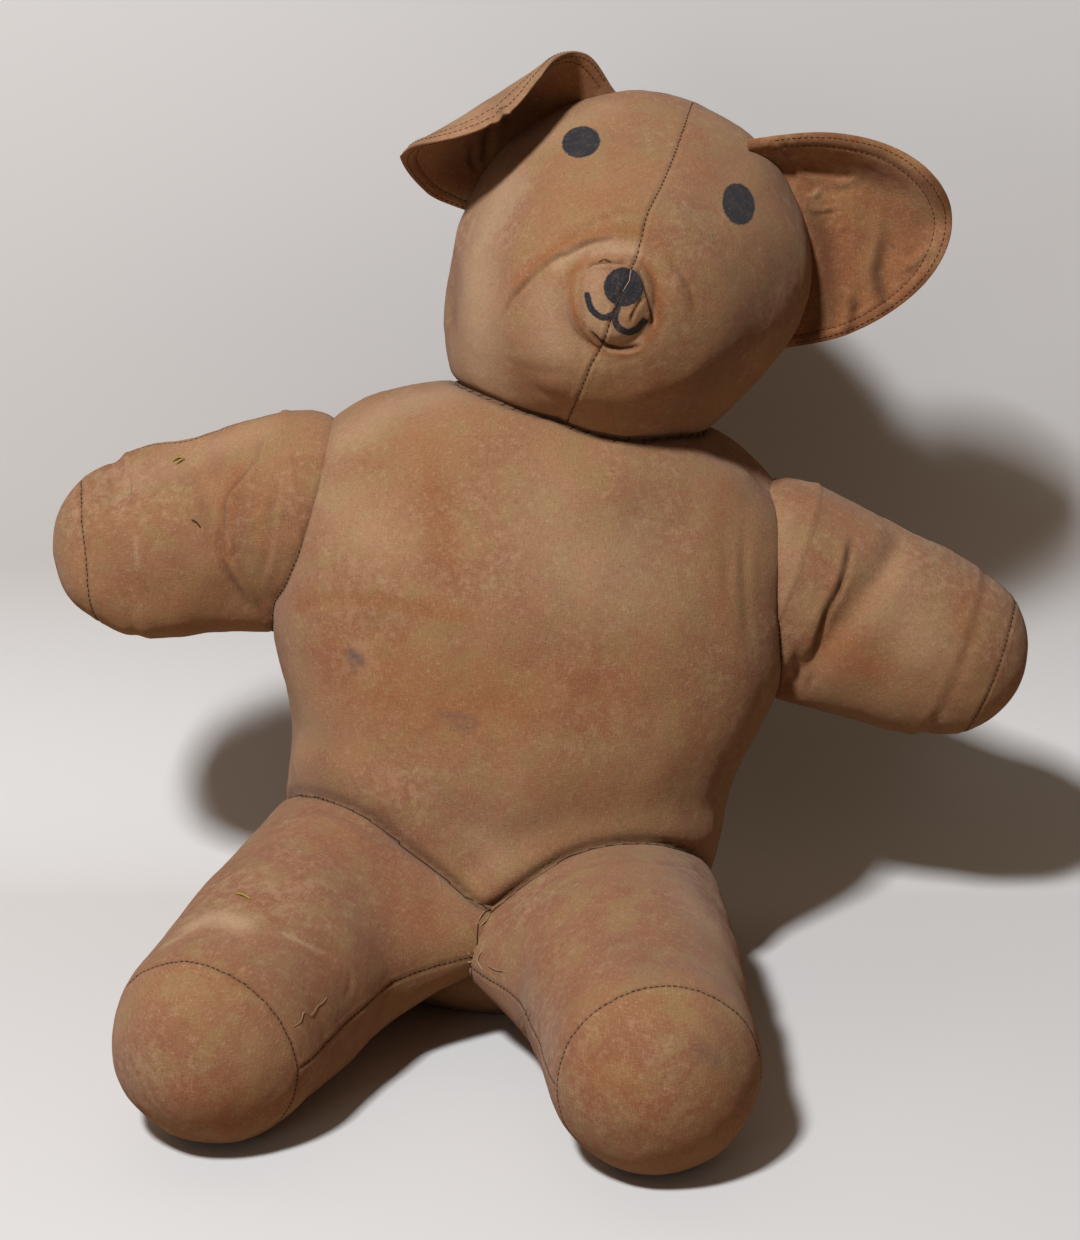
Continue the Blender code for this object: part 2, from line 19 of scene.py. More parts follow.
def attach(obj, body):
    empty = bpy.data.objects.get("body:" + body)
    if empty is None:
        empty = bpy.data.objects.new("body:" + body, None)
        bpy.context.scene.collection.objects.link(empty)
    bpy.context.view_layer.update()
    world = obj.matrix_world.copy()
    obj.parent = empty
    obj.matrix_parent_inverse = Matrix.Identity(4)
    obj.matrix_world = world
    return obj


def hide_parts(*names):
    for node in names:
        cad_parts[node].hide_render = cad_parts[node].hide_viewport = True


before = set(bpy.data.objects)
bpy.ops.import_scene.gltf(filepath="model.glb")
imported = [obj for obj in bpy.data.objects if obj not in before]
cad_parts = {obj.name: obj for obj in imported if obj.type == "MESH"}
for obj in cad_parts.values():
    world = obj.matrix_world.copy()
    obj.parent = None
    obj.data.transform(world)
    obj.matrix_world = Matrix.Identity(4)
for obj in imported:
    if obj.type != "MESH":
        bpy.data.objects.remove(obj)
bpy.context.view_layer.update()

LOG = logging.getLogger("teddy_bear")
MM = 0.001
Array = np.ndarray
Pixels = Sequence[tuple[float, float]]
Colour = tuple[float, float, float]
Place = tuple[float, float, float]


class Side(Enum):
    """The bear's own sides, with the way each lies along X."""

    RIGHT = -1
    LEFT = 1

    @property
    def word(self) -> str:
        """The side's name as the CAD nodes have it."""
        return self.name.lower()


# ---------------------------------------------------------------- numbers


def smooth(share: Array | float) -> Array:
    """Goes from 0 to 1 with no corner at either end.

    Args:
        share: how far along, below 0 and above 1 held at the ends.

    Returns:
        The eased share.
    """
    share = np.clip(share, 0.0, 1.0)
    return share * share * (3 - 2 * share)


def through(stations: Sequence[tuple[float, float]], place: Array) -> Array:
    """A size that passes smoothly through stations.

    Args:
        stations: pairs of place and size, in rising order of place.
        place: where the size is wanted.

    Returns:
        The size at each place.
    """
    size = np.full(np.shape(place), stations[0][1], float)
    for (start, before), (end, after) in zip(stations, stations[1:]):
        size = np.where(place > start, before + (after - before) * smooth((place - start) / (end - start)), size)
    return size


def walked(line: Array) -> Array:
    """How far along a line each of its points lies."""
    return np.concatenate([[0], np.cumsum(np.linalg.norm(np.diff(line, axis=0), axis=1))])


def read_off(wanted: Array, scale: Array, table: Array) -> Array:
    """Reads every column of a table at places between its rows.

    Args:
        wanted: the places.
        scale: where each row of the table lies, in rising order.
        table: its rows.

    Returns:
        One row for each wanted place.
    """
    return np.stack([np.interp(wanted, scale, column) for column in table.T], axis=1)


def unit(vectors: Array) -> Array:
    """Vectors of length 1 in the same directions."""
    return vectors / np.maximum(np.linalg.norm(vectors, axis=-1, keepdims=True), 1e-12)


def spline(points: Array, count: int, steps: int = 24) -> Array:
    """A smooth line through points, in steps of equal length.

    Args:
        points: the points that the line passes through, one a row.
        count: how many points are wanted.
        steps: how finely the line is worked out from one point to the next.

    Returns:
        That many points along the line.
    """
    points = np.asarray(points, float)
    ends = np.vstack([2 * points[0] - points[1], points, 2 * points[-1] - points[-2]])
    t = np.linspace(0, 1, steps, endpoint=False)[:, None]
    fine = []
    for a, b, c, d in zip(ends, ends[1:], ends[2:], ends[3:]):
        squared, cubed = 2 * a - 5 * b + 4 * c - d, 3 * b - a - 3 * c + d
        fine.append(0.5 * (2 * b + (c - a) * t + squared * t**2 + cubed * t**3))
    fine = np.vstack([*fine, points[-1:]])
    length = walked(fine)
    return read_off(np.linspace(0, length[-1], count), length, fine)


class Grain:
    """Smooth seeded noise in space, from about -1 to 1."""

    GAIN = 1.7

    def __init__(self, seed: int) -> None:
        """Draws the table of gradients.

        Args:
            seed: the number that fixes the noise.
        """
        draw = np.random.default_rng(seed)
        self.table = draw.permutation(256)
        self.slopes = unit(draw.normal(size=(256, 3)))

    def at(self, points: Array, size: float) -> Array:
        """The noise at points.

        Args:
            points: places in space, one a row.
            size: how far apart its lumps are.

        Returns:
            One number for each point.
        """
        scaled = points / size
        cell = np.floor(scaled).astype(int)
        inside = scaled - cell
        ease = inside**3 * (inside * (inside * 6 - 15) + 10)
        total = np.zeros(len(points))
        for corner in itertools.product((0, 1), repeat=3):
            corner = np.array(corner)
            x, y, z = (cell + corner).T & 255
            slope = self.slopes[self.table[(self.table[(self.table[x] + y) & 255] + z) & 255]]
            weight = np.prod(np.where(corner, ease, 1 - ease), axis=1)
            total += weight * ((inside - corner) * slope).sum(1)
        return total * self.GAIN


def added(name: str, data: bpy.types.ID) -> bpy.types.Object:
    """Adds an object to the scene.

    Args:
        name: what it is called.
        data: its mesh, light or camera.

    Returns:
        The object.
    """
    made = bpy.data.objects.new(name, data)
    bpy.context.scene.collection.objects.link(made)
    return made


# ---------------------------------------------------------------- the photograph's view


@dataclass(frozen=True)
class Viewpoint:
    """The camera, where the photograph's own one stood."""

    place: Place = (0.024, -1.4095, 0.688)
    pitch: float = math.radians(70)
    pixels_per_unit: float = 3333.0
    centre: tuple[float, float] = (540.0, 620.0)
    image_height: int = 1240
    sensor: float = 36.0

    def make(self) -> bpy.types.Object:
        """Adds the camera to the scene and looks through it.

        Returns:
            The camera.
        """
        data = bpy.data.cameras.new("camera")
        data.sensor_width = self.sensor
        data.lens = self.sensor * self.pixels_per_unit / self.image_height
        camera = added("camera", data)
        camera.location = self.place
        camera.rotation_euler = (self.pitch, 0, 0)
        bpy.context.scene.camera = camera
        return camera

    def axes(self) -> tuple[Array, Array, Array]:
        """The camera's own directions.

        Returns:
            Right, up and forward.
        """
        up = np.array([0, math.cos(self.pitch), math.sin(self.pitch)])
        forward = np.array([0, math.sin(self.pitch), -math.cos(self.pitch)])
        return np.array([1.0, 0, 0]), up, forward

    def line_of_sight(self, pixel: tuple[float, float]) -> Vector:
        """The direction in which a pixel lies.

        Args:
            pixel: across and down.

        Returns:
            The direction from the camera.
        """
        right, up, forward = self.axes()
        across = (pixel[0] - self.centre[0]) / self.pixels_per_unit
        above = (self.centre[1] - pixel[1]) / self.pixels_per_unit
        return Vector(forward + right * across + up * above).normalized()

    def pixels_of(self, points: Array) -> Array:
        """Where points lie in the photograph.

        Args:
            points: places in space, one a row.

        Returns:
            Their pixels, across and down.
        """
        right, up, forward = self.axes()
        away = points - np.array(self.place)
        depth = away @ forward
        across = self.centre[0] + self.pixels_per_unit * (away @ right) / depth
        down = self.centre[1] - self.pixels_per_unit * (away @ up) / depth
        return np.stack([across, down], axis=1)


EYE = Viewpoint()


# ---------------------------------------------------------------- stuffed forms


@dataclass(frozen=True)
class Crease:
    """A line pressed into the cloth, through pixels of the photograph.

    Attributes:
        on: the piece that it is in.
        pixels: the line.
        depth: how deep it is pressed, in millimetres, as are the next two.
        width: how far its sides reach.
        ridge: how high the cloth swells beside it.
        fade: the share of its length over which either end runs out.
        dirt: how dark its bottom is painted, as shade with some grime.
        step: how much higher the cloth is on the line's right, as one walks along it, in millimetres.
        reach: how far such a step carries, in millimetres.
        pucker: how high the cloth gathers beside it, as along a row of stitches.
    """

    on: str
    pixels: Pixels
    depth: float = 0.8
    width: float = 1.6
    ridge: float = 0.3
    fade: float = 0.3
    dirt: float = 0.5
    step: float = 0.0
    reach: float = 8.0
    pucker: float = 0.0


@dataclass(frozen=True)
class Smear:
    """A stain, a dirty or worn place, or painted shade or highlight, along pixels of the photograph.

    Attributes:
        on: the piece that it is on.
        mark: which mark it leaves.
        pixels: the line or the spot.
        width: how far it spreads, in millimetres.
        strength: how strong it is, from 0 to 1.
    """

    on: str
    mark: str
    pixels: Pixels
    width: float
    strength: float


@dataclass(frozen=True)
class Lump:
    """Where stuffing stands out, or has gone, along pixels of the photograph.

    Attributes:
        on: the piece that it is in.
        pixels: the line or the spot.
        width: how far it spreads, in millimetres.
        height: how high it stands, in millimetres.
    """

    on: str
    pixels: Pixels
    width: float
    height: float


@dataclass(frozen=True)
class Painted:
    """A painted oval, or a painted stroke where a line is given.

    Attributes:
        centre: the oval's middle in pixels.
        radii: half of its width and of its height, in pixels.
        turn: how far it is turned clockwise, in degrees.
        line: a stroke's middle line in pixels.
        half_width: half of a stroke's width, in pixels.
    """

    centre: tuple[float, float] = (0.0, 0.0)
    radii: tuple[float, float] = (1.0, 1.0)
    turn: float = 0.0
    line: Pixels = ()
    half_width: float = 3.5

    def inside(self, pixels: Array) -> Array:
        """How far inside the paint's edge pixels are.

        Args:
            pixels: across and down, one pixel a row.

        Returns:
            The distance in pixels, below 0 outside the paint.
        """
        if self.line:
            line = spline(self.line, 60)
            away = np.linalg.norm(pixels[:, None] - line[None], axis=2).min(1)
            return self.half_width - away
        turn = math.radians(self.turn)
        x, y = (pixels - np.array(self.centre)).T
        along, over = x * math.cos(turn) + y * math.sin(turn), y * math.cos(turn) - x * math.sin(turn)
        return (1 - np.hypot(along / self.radii[0], over / self.radii[1])) * min(self.radii)


Mark = Crease | Smear | Lump
# fold is painted shade in creases, seams and hollows, with some grime; rub is wear and, in places, painted highlight
MARKS = ("fold", "rub", "rust", "stain", "ink")


class Fabric:
    """A closed piece of sewn cloth: its points, its faces, its marks of age and its painted shade and highlight."""

    def __init__(self, name: str, place: Matrix, local: Array, corners: Array, weave: Array, starts: Array) -> None:
        """Places the points and makes the faces point outwards.

        Args:
            name: what the piece is called.
            place: the form's frame.
            local: the points in that frame.
            corners: the corners of all faces, one face after the other.
            weave: where each corner lies in the weave, in metres.
            starts: the corner at which each face starts.
        """
        self.name, self.place = name, place
        self.corners, self.corner_weave, self.starts = corners, weave, starts
        matrix = np.array(place)
        self.points = local @ matrix[:3, :3].T + matrix[:3, 3]
        self.points[:, 2] = np.maximum(self.points[:, 2], 0)
        if self.volume() < 0:
            self.turn_over()
        self.normals = self.facing()
        self.push = self.normals
        self.lift = np.zeros(len(self.points))
        self.marks = {mark: np.zeros(len(self.points)) for mark in MARKS}
        self.marks["ink"] -= 1
        self.tree = self.tree_now()

    def tree_now(self) -> BVHTree:
        """A search tree of the faces as they now stand."""
        faces = [part.tolist() for part in np.split(self.corners, self.starts[1:])]
        return BVHTree.FromPolygons(self.points.tolist(), faces)

    def volume(self) -> float:
        """The volume of the first triangles of all faces, whose sign tells whether they point outwards."""
        a, b, c = (self.points[self.corners[self.starts + step]] for step in range(3))
        return float((a * np.cross(b, c)).sum() / 6)

    def turn_over(self) -> None:
        """Turns every face round."""
        ends = np.append(self.starts[1:], len(self.corners))
        order = np.concatenate([np.arange(start, end)[::-1] for start, end in zip(self.starts, ends)])
        self.corners, self.corner_weave = self.corners[order], self.corner_weave[order]

    def facing(self) -> Array:
        """Looks which way the cloth faces.

        Returns:
            The outward direction at each point as it now stands.
        """
        sizes = np.append(self.starts[1:], len(self.corners)) - self.starts
        first, second, third = (self.points[self.corners[self.starts + step]] for step in range(3))
        last = self.points[self.corners[self.starts + sizes - 1]]
        across = np.repeat(np.cross(third - first, last - second), sizes, axis=0)
        return unit(np.stack([np.bincount(self.corners, part, len(self.points)) for part in across.T], axis=1))

    def darken(self, mark: str, amount: Array, where: Array | slice = slice(None)) -> None:
        """Raises a mark to at least this amount.

        Args:
            mark: which of the marks.
            amount: how strong it is.
            where: the points that it is for.
        """
        self.marks[mark][where] = np.maximum(self.marks[mark][where], amount)

    def settle(self) -> None:
        """Moves the points by what has been pressed and swollen so far, and lets the floor flatten them."""
        self.points = self.points + self.push * self.lift[:, None]
        self.points[:, 2] = np.maximum(self.points[:, 2], 0)
        self.lift[:] = 0
        self.normals = self.facing()
        self.push = self.normals
        self.tree = self.tree_now()

    def within(self, others: Array, reach: float) -> Array:
        """The numbers of the points that lie in the box of other points, made larger by a reach."""
        low, high = others.min(0) - reach, others.max(0) + reach
        return np.flatnonzero(((self.points > low) & (self.points < high)).all(1))

    def clearance(self, other: "Fabric", reach: float) -> Array:
        """How far each point lies outside another piece as that was before it was creased.

        Args:
            other: the neighbouring piece.
            reach: the distance past which nothing is measured.

        Returns:
            The distance, below 0 inside the other piece, and the reach itself further off.
        """
        found = np.full(len(self.points), reach)
        for index in self.within(other.points, reach):
            spot = Vector(self.points[index])
            nearest, normal, _, distance = other.tree.find_nearest(spot)
            inside = (spot - nearest).dot(normal) < 0
            found[index] = -distance if inside else min(distance, reach)
        return found

    def close_to(self, line: Array, reach: float) -> tuple[Array, Array, Array]:
        """The points near a line.

        Args:
            line: points in space.
            reach: how far from it they may lie.

        Returns:
            Their numbers, the number of the line's nearest point for each, and the way from there to each.
        """
        near = self.within(line, reach)
        chunks = np.array_split(self.points[near], len(near) // 4000 + 1)
        nearest = np.concatenate([np.linalg.norm(part[:, None] - line[None], axis=2).argmin(1) for part in chunks])
        return near, nearest, self.points[near] - line[nearest]

    def press(self, crease: Crease, line: Array, grain: Grain) -> None:
        """Presses a crease into the cloth.

        Args:
            crease: what it is like.
            line: its points in space, closely spaced.
            grain: makes its depth uneven.
        """
        width, carry = crease.width * MM, crease.reach * MM
        reach = max(width * 4, carry * 2.2 if crease.step else 0)
        near, nearest, away = self.close_to(line, reach)
        along = unit(np.gradient(line, axis=0))
        side = (away * np.cross(along[nearest], self.push[near])).sum(1)
        distance = np.linalg.norm(away, axis=1)
        share = nearest / (len(line) - 1)
        strength = np.ones(len(near))
        if crease.fade:
            strength = smooth(share / crease.fade) * smooth((1 - share) / crease.fade)
        strength = strength * (0.8 + 0.35 * grain.at(line[nearest], 9 * MM)) * (distance < reach)
        groove = np.exp(-((distance / width) ** 2))
        swell = np.exp(-(((distance - 2.1 * width) / (1.3 * width)) ** 2))
        lift = crease.ridge * swell - crease.depth * groove
        if crease.step:
            lift += crease.step * np.tanh(side / (0.8 * width)) * np.exp(-((distance / carry) ** 2))
        if crease.pucker:
            beside = np.exp(-((distance / (4 * MM)) ** 2)) * (1 - np.exp(-((distance / MM) ** 2)))
            gathers = grain.at(line[nearest], 4.5 * MM) + 0.7 * grain.at(line[nearest] + 1, 2.3 * MM)
            lift += crease.pucker * beside * gathers
        self.lift[near] += lift * strength * MM
        # the crease's bottom is painted darker, as shade with some grime
        self.darken("fold", crease.dirt * strength * np.exp(-((distance / (0.8 * width)) ** 2)), near)

    def beside(self, line: Array, width: float) -> tuple[Array, Array]:
        """The points near a line, and how strongly each is touched by something that spreads from it.

        Args:
            line: points in space.
            width: how far it spreads.

        Returns:
            The numbers of the points, and a share from 0 to 1 for each.
        """
        near, _, away = self.close_to(line, 3 * width)
        return near, np.exp(-((np.linalg.norm(away, axis=1) / width) ** 2))

    def nearest(self, line: Array) -> tuple[Array, Array]:
        """Carries points onto the piece as it now stands.

        Args:
            line: points in space.

        Returns:
            The nearest points on the cloth, and its outward direction at each.
        """
        found = [self.tree.find_nearest(Vector(point)) for point in line]
        return np.array([hit[0] for hit in found]), np.array([hit[1] for hit in found])

    def mesh(self) -> bpy.types.Object:
        """Makes the piece, with its marks and its weave.

        Returns:
            The object.
        """
        data = bpy.data.meshes.new(self.name)
        data.vertices.add(len(self.points))
        data.vertices.foreach_set("co", self.points.astype(np.float32).ravel())
        data.loops.add(len(self.corners))
        data.loops.foreach_set("vertex_index", self.corners.astype(np.int32))
        data.polygons.add(len(self.starts))
        data.polygons.foreach_set("loop_start", self.starts.astype(np.int32))
        data.update(calc_edges=True)
        data.shade_smooth()
        layer = data.uv_layers.new(name="weave")
        layer.data.foreach_set("uv", self.corner_weave.astype(np.float32).ravel())
        for mark, amount in self.marks.items():
            data.attributes.new(mark, "FLOAT", "POINT").data.foreach_set("value", amount.astype(np.float32))
        return added(self.name, data)


class Skin(Fabric):
    """The cloth of one stuffed form: rings of points round an axis, closed by a pole at either end."""

    def __init__(self, name: str, place: Matrix, rings: Array, weave: Array, cap: Array | None = None) -> None:
        """Winds the rings into a closed surface.

        Args:
            name: what the piece is called.
            place: the form's frame.
            rings: local points, by ring and by turn, the first and last ring each shrunk to a point.
            weave: the distances round and along the cloth at each ring and turn, with one turn more than the rings.
            cap: which bands between rings belong to the flat piece that closes the end, or None.
        """
        count, turns = rings.shape[:2]
        self.ring_count, self.turns = count, turns
        self.cap_ring = None if cap is None else int(np.argmax(cap))
        local = np.vstack([rings[0, :1], rings[1:-1].reshape(-1, 3), rings[-1, :1]])
        column = np.arange(turns)
        after = (column + 1) % turns
        corners, places, sizes = [], [], []
        for ring in range(count - 1):
            low, high = 1 + (ring - 1) * turns, 1 + ring * turns
            if ring == 0:
                face, steps = [0 * column, high + after, high + column], [(0, 0), (1, 1), (1, 0)]
            elif ring == count - 2:
                face, steps = [low + column, low + after, 0 * column + len(local) - 1], [(0, 0), (0, 1), (1, 0)]
            else:
                face = [low + column, low + after, high + after, high + column]
                steps = [(0, 0), (0, 1), (1, 1), (1, 0)]
            face = np.stack(face, axis=1)
            spot = np.stack([weave[ring + up, column + along] for up, along in steps], axis=1)
            if cap is not None and cap[ring]:
                spot = local[face][:, :, :2]
            corners.append(face.ravel())
            places.append(spot.reshape(-1, 2))
            sizes.append(np.full(turns, face.shape[1]))
        sizes = np.concatenate(sizes)
        starts = np.concatenate([[0], np.cumsum(sizes)[:-1]])
        super().__init__(name, place, local, np.concatenate(corners), np.concatenate(places), starts)

    def index(self, ring: int, column: int) -> int:
        """Finds a point.

        Args:
            ring: its ring, from 0.
            column: its column, from 0.

        Returns:
            The point's number.
        """
        if ring == 0:
            return 0
        return len(self.points) - 1 if ring == self.ring_count - 1 else 1 + (ring - 1) * self.turns + column

    def round_line(self, ring: int) -> Array:
        """The closed line of one ring."""
        line = self.points[[self.index(ring, column) for column in range(self.turns)]]
        return np.vstack([line, line[:1]])

    def long_line(self, column: int, first: int, last: int) -> Array:
        """The line of one column from one ring to another."""
        return self.points[[self.index(ring, column) for ring in range(first, last)]]

    def meeting(self, outside: Array, entering: bool) -> Array:
        """Where the cloth passes through a neighbour, once for each column.

        Args:
            outside: how far each point lies outside the neighbour.
            entering: True if the columns run into the neighbour, False if they come out of it.

        Returns:
            The points in space where they do, in order of column.
        """
        found = []
        inner = outside[1:-1].reshape(self.ring_count - 2, self.turns)
        spots = self.points[1:-1].reshape(self.ring_count - 2, self.turns, 3)
        for column in range(self.turns):
            depth = inner[:, column]
            passes = np.flatnonzero((depth[:-1] > 0) != (depth[1:] > 0))
            if len(passes):
                ring = passes[0] if entering else passes[-1]
                share = depth[ring] / (depth[ring] - depth[ring + 1])
                found.append(spots[ring, column] * (1 - share) + spots[ring + 1, column] * share)
        return np.array(found)


class Flap(Fabric):
    """Two layers of cloth sewn round their rim, from one sheet of points."""

    def __init__(self, name: str, place: Matrix, sheet: Array, weave: Array, half: Array) -> None:
        """Lays the two layers either side of the sheet and closes the rim.

        Args:
            name: what the piece is called.
            place: the form's frame.
            sheet: local points by row and column.
            weave: the cloth's own measure at each.
            half: half of the thickness at each.
        """
        rows, columns = sheet.shape[:2]
        down, over = np.gradient(sheet, axis=0), np.gradient(sheet, axis=1)
        normal = unit(np.cross(over, down))
        front, back = sheet + normal * half[..., None], sheet - normal * half[..., None]
        local = np.vstack([front.reshape(-1, 3), back.reshape(-1, 3)])
        number = np.arange(rows * columns).reshape(rows, columns)
        quads = np.stack([number[:-1, :-1], number[:-1, 1:], number[1:, 1:], number[1:, :-1]], axis=2).reshape(-1, 4)
        rim = np.concatenate([number[0, :-1], number[:-1, -1], number[-1, :0:-1], number[:0:-1, 0]])
        after = np.roll(rim, -1)
        behind = rows * columns
        edge = np.stack([rim, rim + behind, after + behind, after], axis=1)
        faces = np.vstack([quads, quads[:, ::-1] + behind, edge])
        both = np.vstack([weave.reshape(-1, 2)] * 2)
        self.layer, self.rows, self.columns = rows * columns, rows, columns
        starts = np.arange(len(faces)) * 4
        super().__init__(name, place, local, faces.ravel(), both[faces.ravel()], starts)
        turned = normal.reshape(-1, 3) @ np.array(place)[:3, :3].T
        self.steady = np.vstack([turned, turned])
        self.push = self.steady

    def settle(self) -> None:
        """Moves both layers together."""
        super().settle()
        self.push = self.steady

    def at(self, row: Array, column: Array, back: bool) -> Array:
        """Points of one layer as it now stands.

        Args:
            row: how many rows down, with fractions.
            column: how many columns across, with fractions.
            back: whether the hind layer is wanted.

        Returns:
            The points in space.
        """
        grid = self.points[self.layer * back : self.layer * (back + 1)].reshape(self.rows, self.columns, 3)
        i = np.clip(row.astype(int), 0, self.rows - 2)
        j = np.clip(column.astype(int), 0, self.columns - 2)
        down, over = (row - i)[:, None], (column - j)[:, None]
        upper = grid[i, j] * (1 - over) + grid[i, j + 1] * over
        lower = grid[i + 1, j] * (1 - over) + grid[i + 1, j + 1] * over
        return upper * (1 - down) + lower * down


def rings_of(profile: Array, start: float, turns: int, shape: Callable[[Array], Array]) -> Array:
    """Turns a profile round local Z and shapes the result.

    Args:
        profile: radius and height of each ring.
        start: the angle of the first column.
        turns: how many columns.
        shape: moves local points.

    Returns:
        Local points by ring and column.
    """
    angle = start + np.arange(turns) / turns * math.tau
    radius, height = profile[:, 0, None], profile[:, 1, None]
    points = np.stack([radius * np.cos(angle), radius * np.sin(angle), height + 0 * angle], axis=2)
    return shape(points.reshape(-1, 3)).reshape(len(profile), turns, 3)


def weave_round(rings: Array, radius: float) -> Array:
    """The cloth's own measure on a tube, round it at one radius and along it.

    Args:
        rings: local points by ring and column.
        radius: the radius at which the cloth isn't stretched.

    Returns:
        Two distances for each ring and each column, with one column more than the rings have.
    """
    count, turns = rings.shape[:2]
    step = np.linalg.norm(np.diff(rings, axis=0), axis=2).mean(1)
    along = np.concatenate([[0], np.cumsum(step)])
    around = np.arange(turns + 1) / turns * math.tau * radius
    return np.stack(np.broadcast_arrays(around[None], along[:, None]), axis=2)


@dataclass
class Torso:
    """The barrel of the body, with its belly panel and two back panels.

    The widths and depths are halves, at stations up the spine. The squareness is 2 for the ends of an ellipse.
    """

    roll: float = math.radians(8.4)
    foot: float = -0.004
    lean: float = math.radians(14)
    top: float = 0.273
    squash: float = 0.014
    squareness: float = 3.6
    fullness: float = 0.06
    widths: Sequence[tuple[float, float]] = ((0.030, 0.102), (0.095, 0.1015), (0.165, 0.120), (0.238, 0.118))
    depths: Sequence[tuple[float, float]] = ((0.030, 0.081), (0.095, 0.082), (0.165, 0.078), (0.238, 0.069))
    girth: float = 0.105
    weave_radius: float = 0.098
    turns: int = 420
    rings: int = 190

    def frame(self) -> Matrix:
        """Leans the spine back and towards the bear's left.

        Returns:
            The spine's frame.
        """
        return (
            Matrix.Translation((self.foot, 0, 0))
            @ Matrix.Rotation(self.roll, 4, "Y")
            @ Matrix.Rotation(-self.lean, 4, "X")
        )

    def skin(self) -> Skin:
        """Makes the torso's form.

        Returns:
            Its cloth before it is creased.
        """
        level = -np.cos(np.linspace(0, math.pi, 600))
        radius = np.maximum(1 - np.abs(level) ** self.squareness, 0) ** (1 / self.squareness)
        height = -self.squash + (self.top + self.squash) * (level + 1) / 2
        length = walked(np.stack([radius * self.girth, height], axis=1))
        profile = read_off(np.linspace(0, length[-1], self.rings), length, np.stack([radius, height], axis=1))

        def shape(points: Array) -> Array:
            """Shapes local points.

            Args:
                points: round, one a row.

            Returns:
                The shaped points.
            """
            x, y, z = points.T
            fuller = 1 + self.fullness * (2 * x * y) ** 2
            return np.stack([x * fuller * through(self.widths, z), y * fuller * through(self.depths, z), z], axis=1)

        rings = rings_of(profile, math.pi / 2, self.turns, shape)
        return Skin("torso", self.frame(), rings, weave_round(rings, self.weave_radius))


@dataclass
class Arm:
    """A stubby arm, its front and back panels closed by a round paw panel.

    The shoulder, elbow and wrist are radii, and the paw is the seam's distance from the tip. A fold crosses the arm's
    front by the shoulder.
    """

    side: Side
    torso: Torso
    length: float
    droop: float
    root: float = 0.024
    height: float = 0.198
    half_width: float = 0.110
    shoulder: float = 0.050
    elbow: float = 0.045
    wrist: float = 0.040
    flatness: float = 0.72
    bluntness: float = 0.95
    paw: float = 0.016
    fold_place: float = 0.032
    fold_width: float = 0.0075
    fold_depth: float = 0.0055
    fold_slant: float = 0.30
    turns: int = 208

    def frame(self) -> Matrix:
        """Points local Z from the shoulder seam to the paw and local X up.

        Returns:
            The arm's frame.
        """
        out = self.side.value
        along = Vector((out * math.cos(self.droop), 0, -math.sin(self.droop)))
        up = Vector((out * math.sin(self.droop), 0, math.cos(self.droop)))
        axes = Matrix((up, along.cross(up), along)).transposed().to_4x4()
        return self.torso.frame() @ Matrix.Translation((out * self.half_width, 0, self.height)) @ axes

    def skin(self) -> Skin:
        """Makes the arm's form.

        Returns:
            Its cloth before it is creased.
        """
        radii = ((0.0, self.shoulder), (self.length * 0.5, self.elbow), (self.length * 0.85, self.wrist))
        dome = self.wrist * self.bluntness
        front = self.side.value
        tube = np.linspace(0, self.length - dome, 30)
        arc = np.linspace(0, math.pi / 2, 14)[1:]
        outline = [(0.0, -self.root), (self.wrist, -self.root * 0.8)]
        outline += list(zip(through(radii, tube), tube))
        outline += list(zip(self.wrist * np.cos(arc), self.length - dome + dome * np.sin(arc)))
        profile = spline(outline, 150)
        profile[0, 0] = profile[-1, 0] = 0

        def shape(points: Array) -> Array:
            """Shapes local points.

            Args:
                points: round, one a row.

            Returns:
                The shaped points.
            """
            x, y, z = points.T
            radius = np.maximum(np.hypot(x, y), 1e-9)
            facing = smooth(y * front / radius * 1.4)
            place = self.fold_place + self.fold_slant * x
            fold = self.fold_depth * np.exp(-(((z - place) / self.fold_width) ** 2))
            pressed = np.where(radius > self.fold_depth * 2, 1 - fold * facing / radius, 1)
            return np.stack([x * pressed, y * pressed * self.flatness, z], axis=1)

        rings = rings_of(profile, -front * math.pi / 2, self.turns, shape)
        cap = profile[1:, 1] > self.length - self.paw
        return Skin(f"arm_{self.side.word}", self.frame(), rings, weave_round(rings, self.wrist), cap)


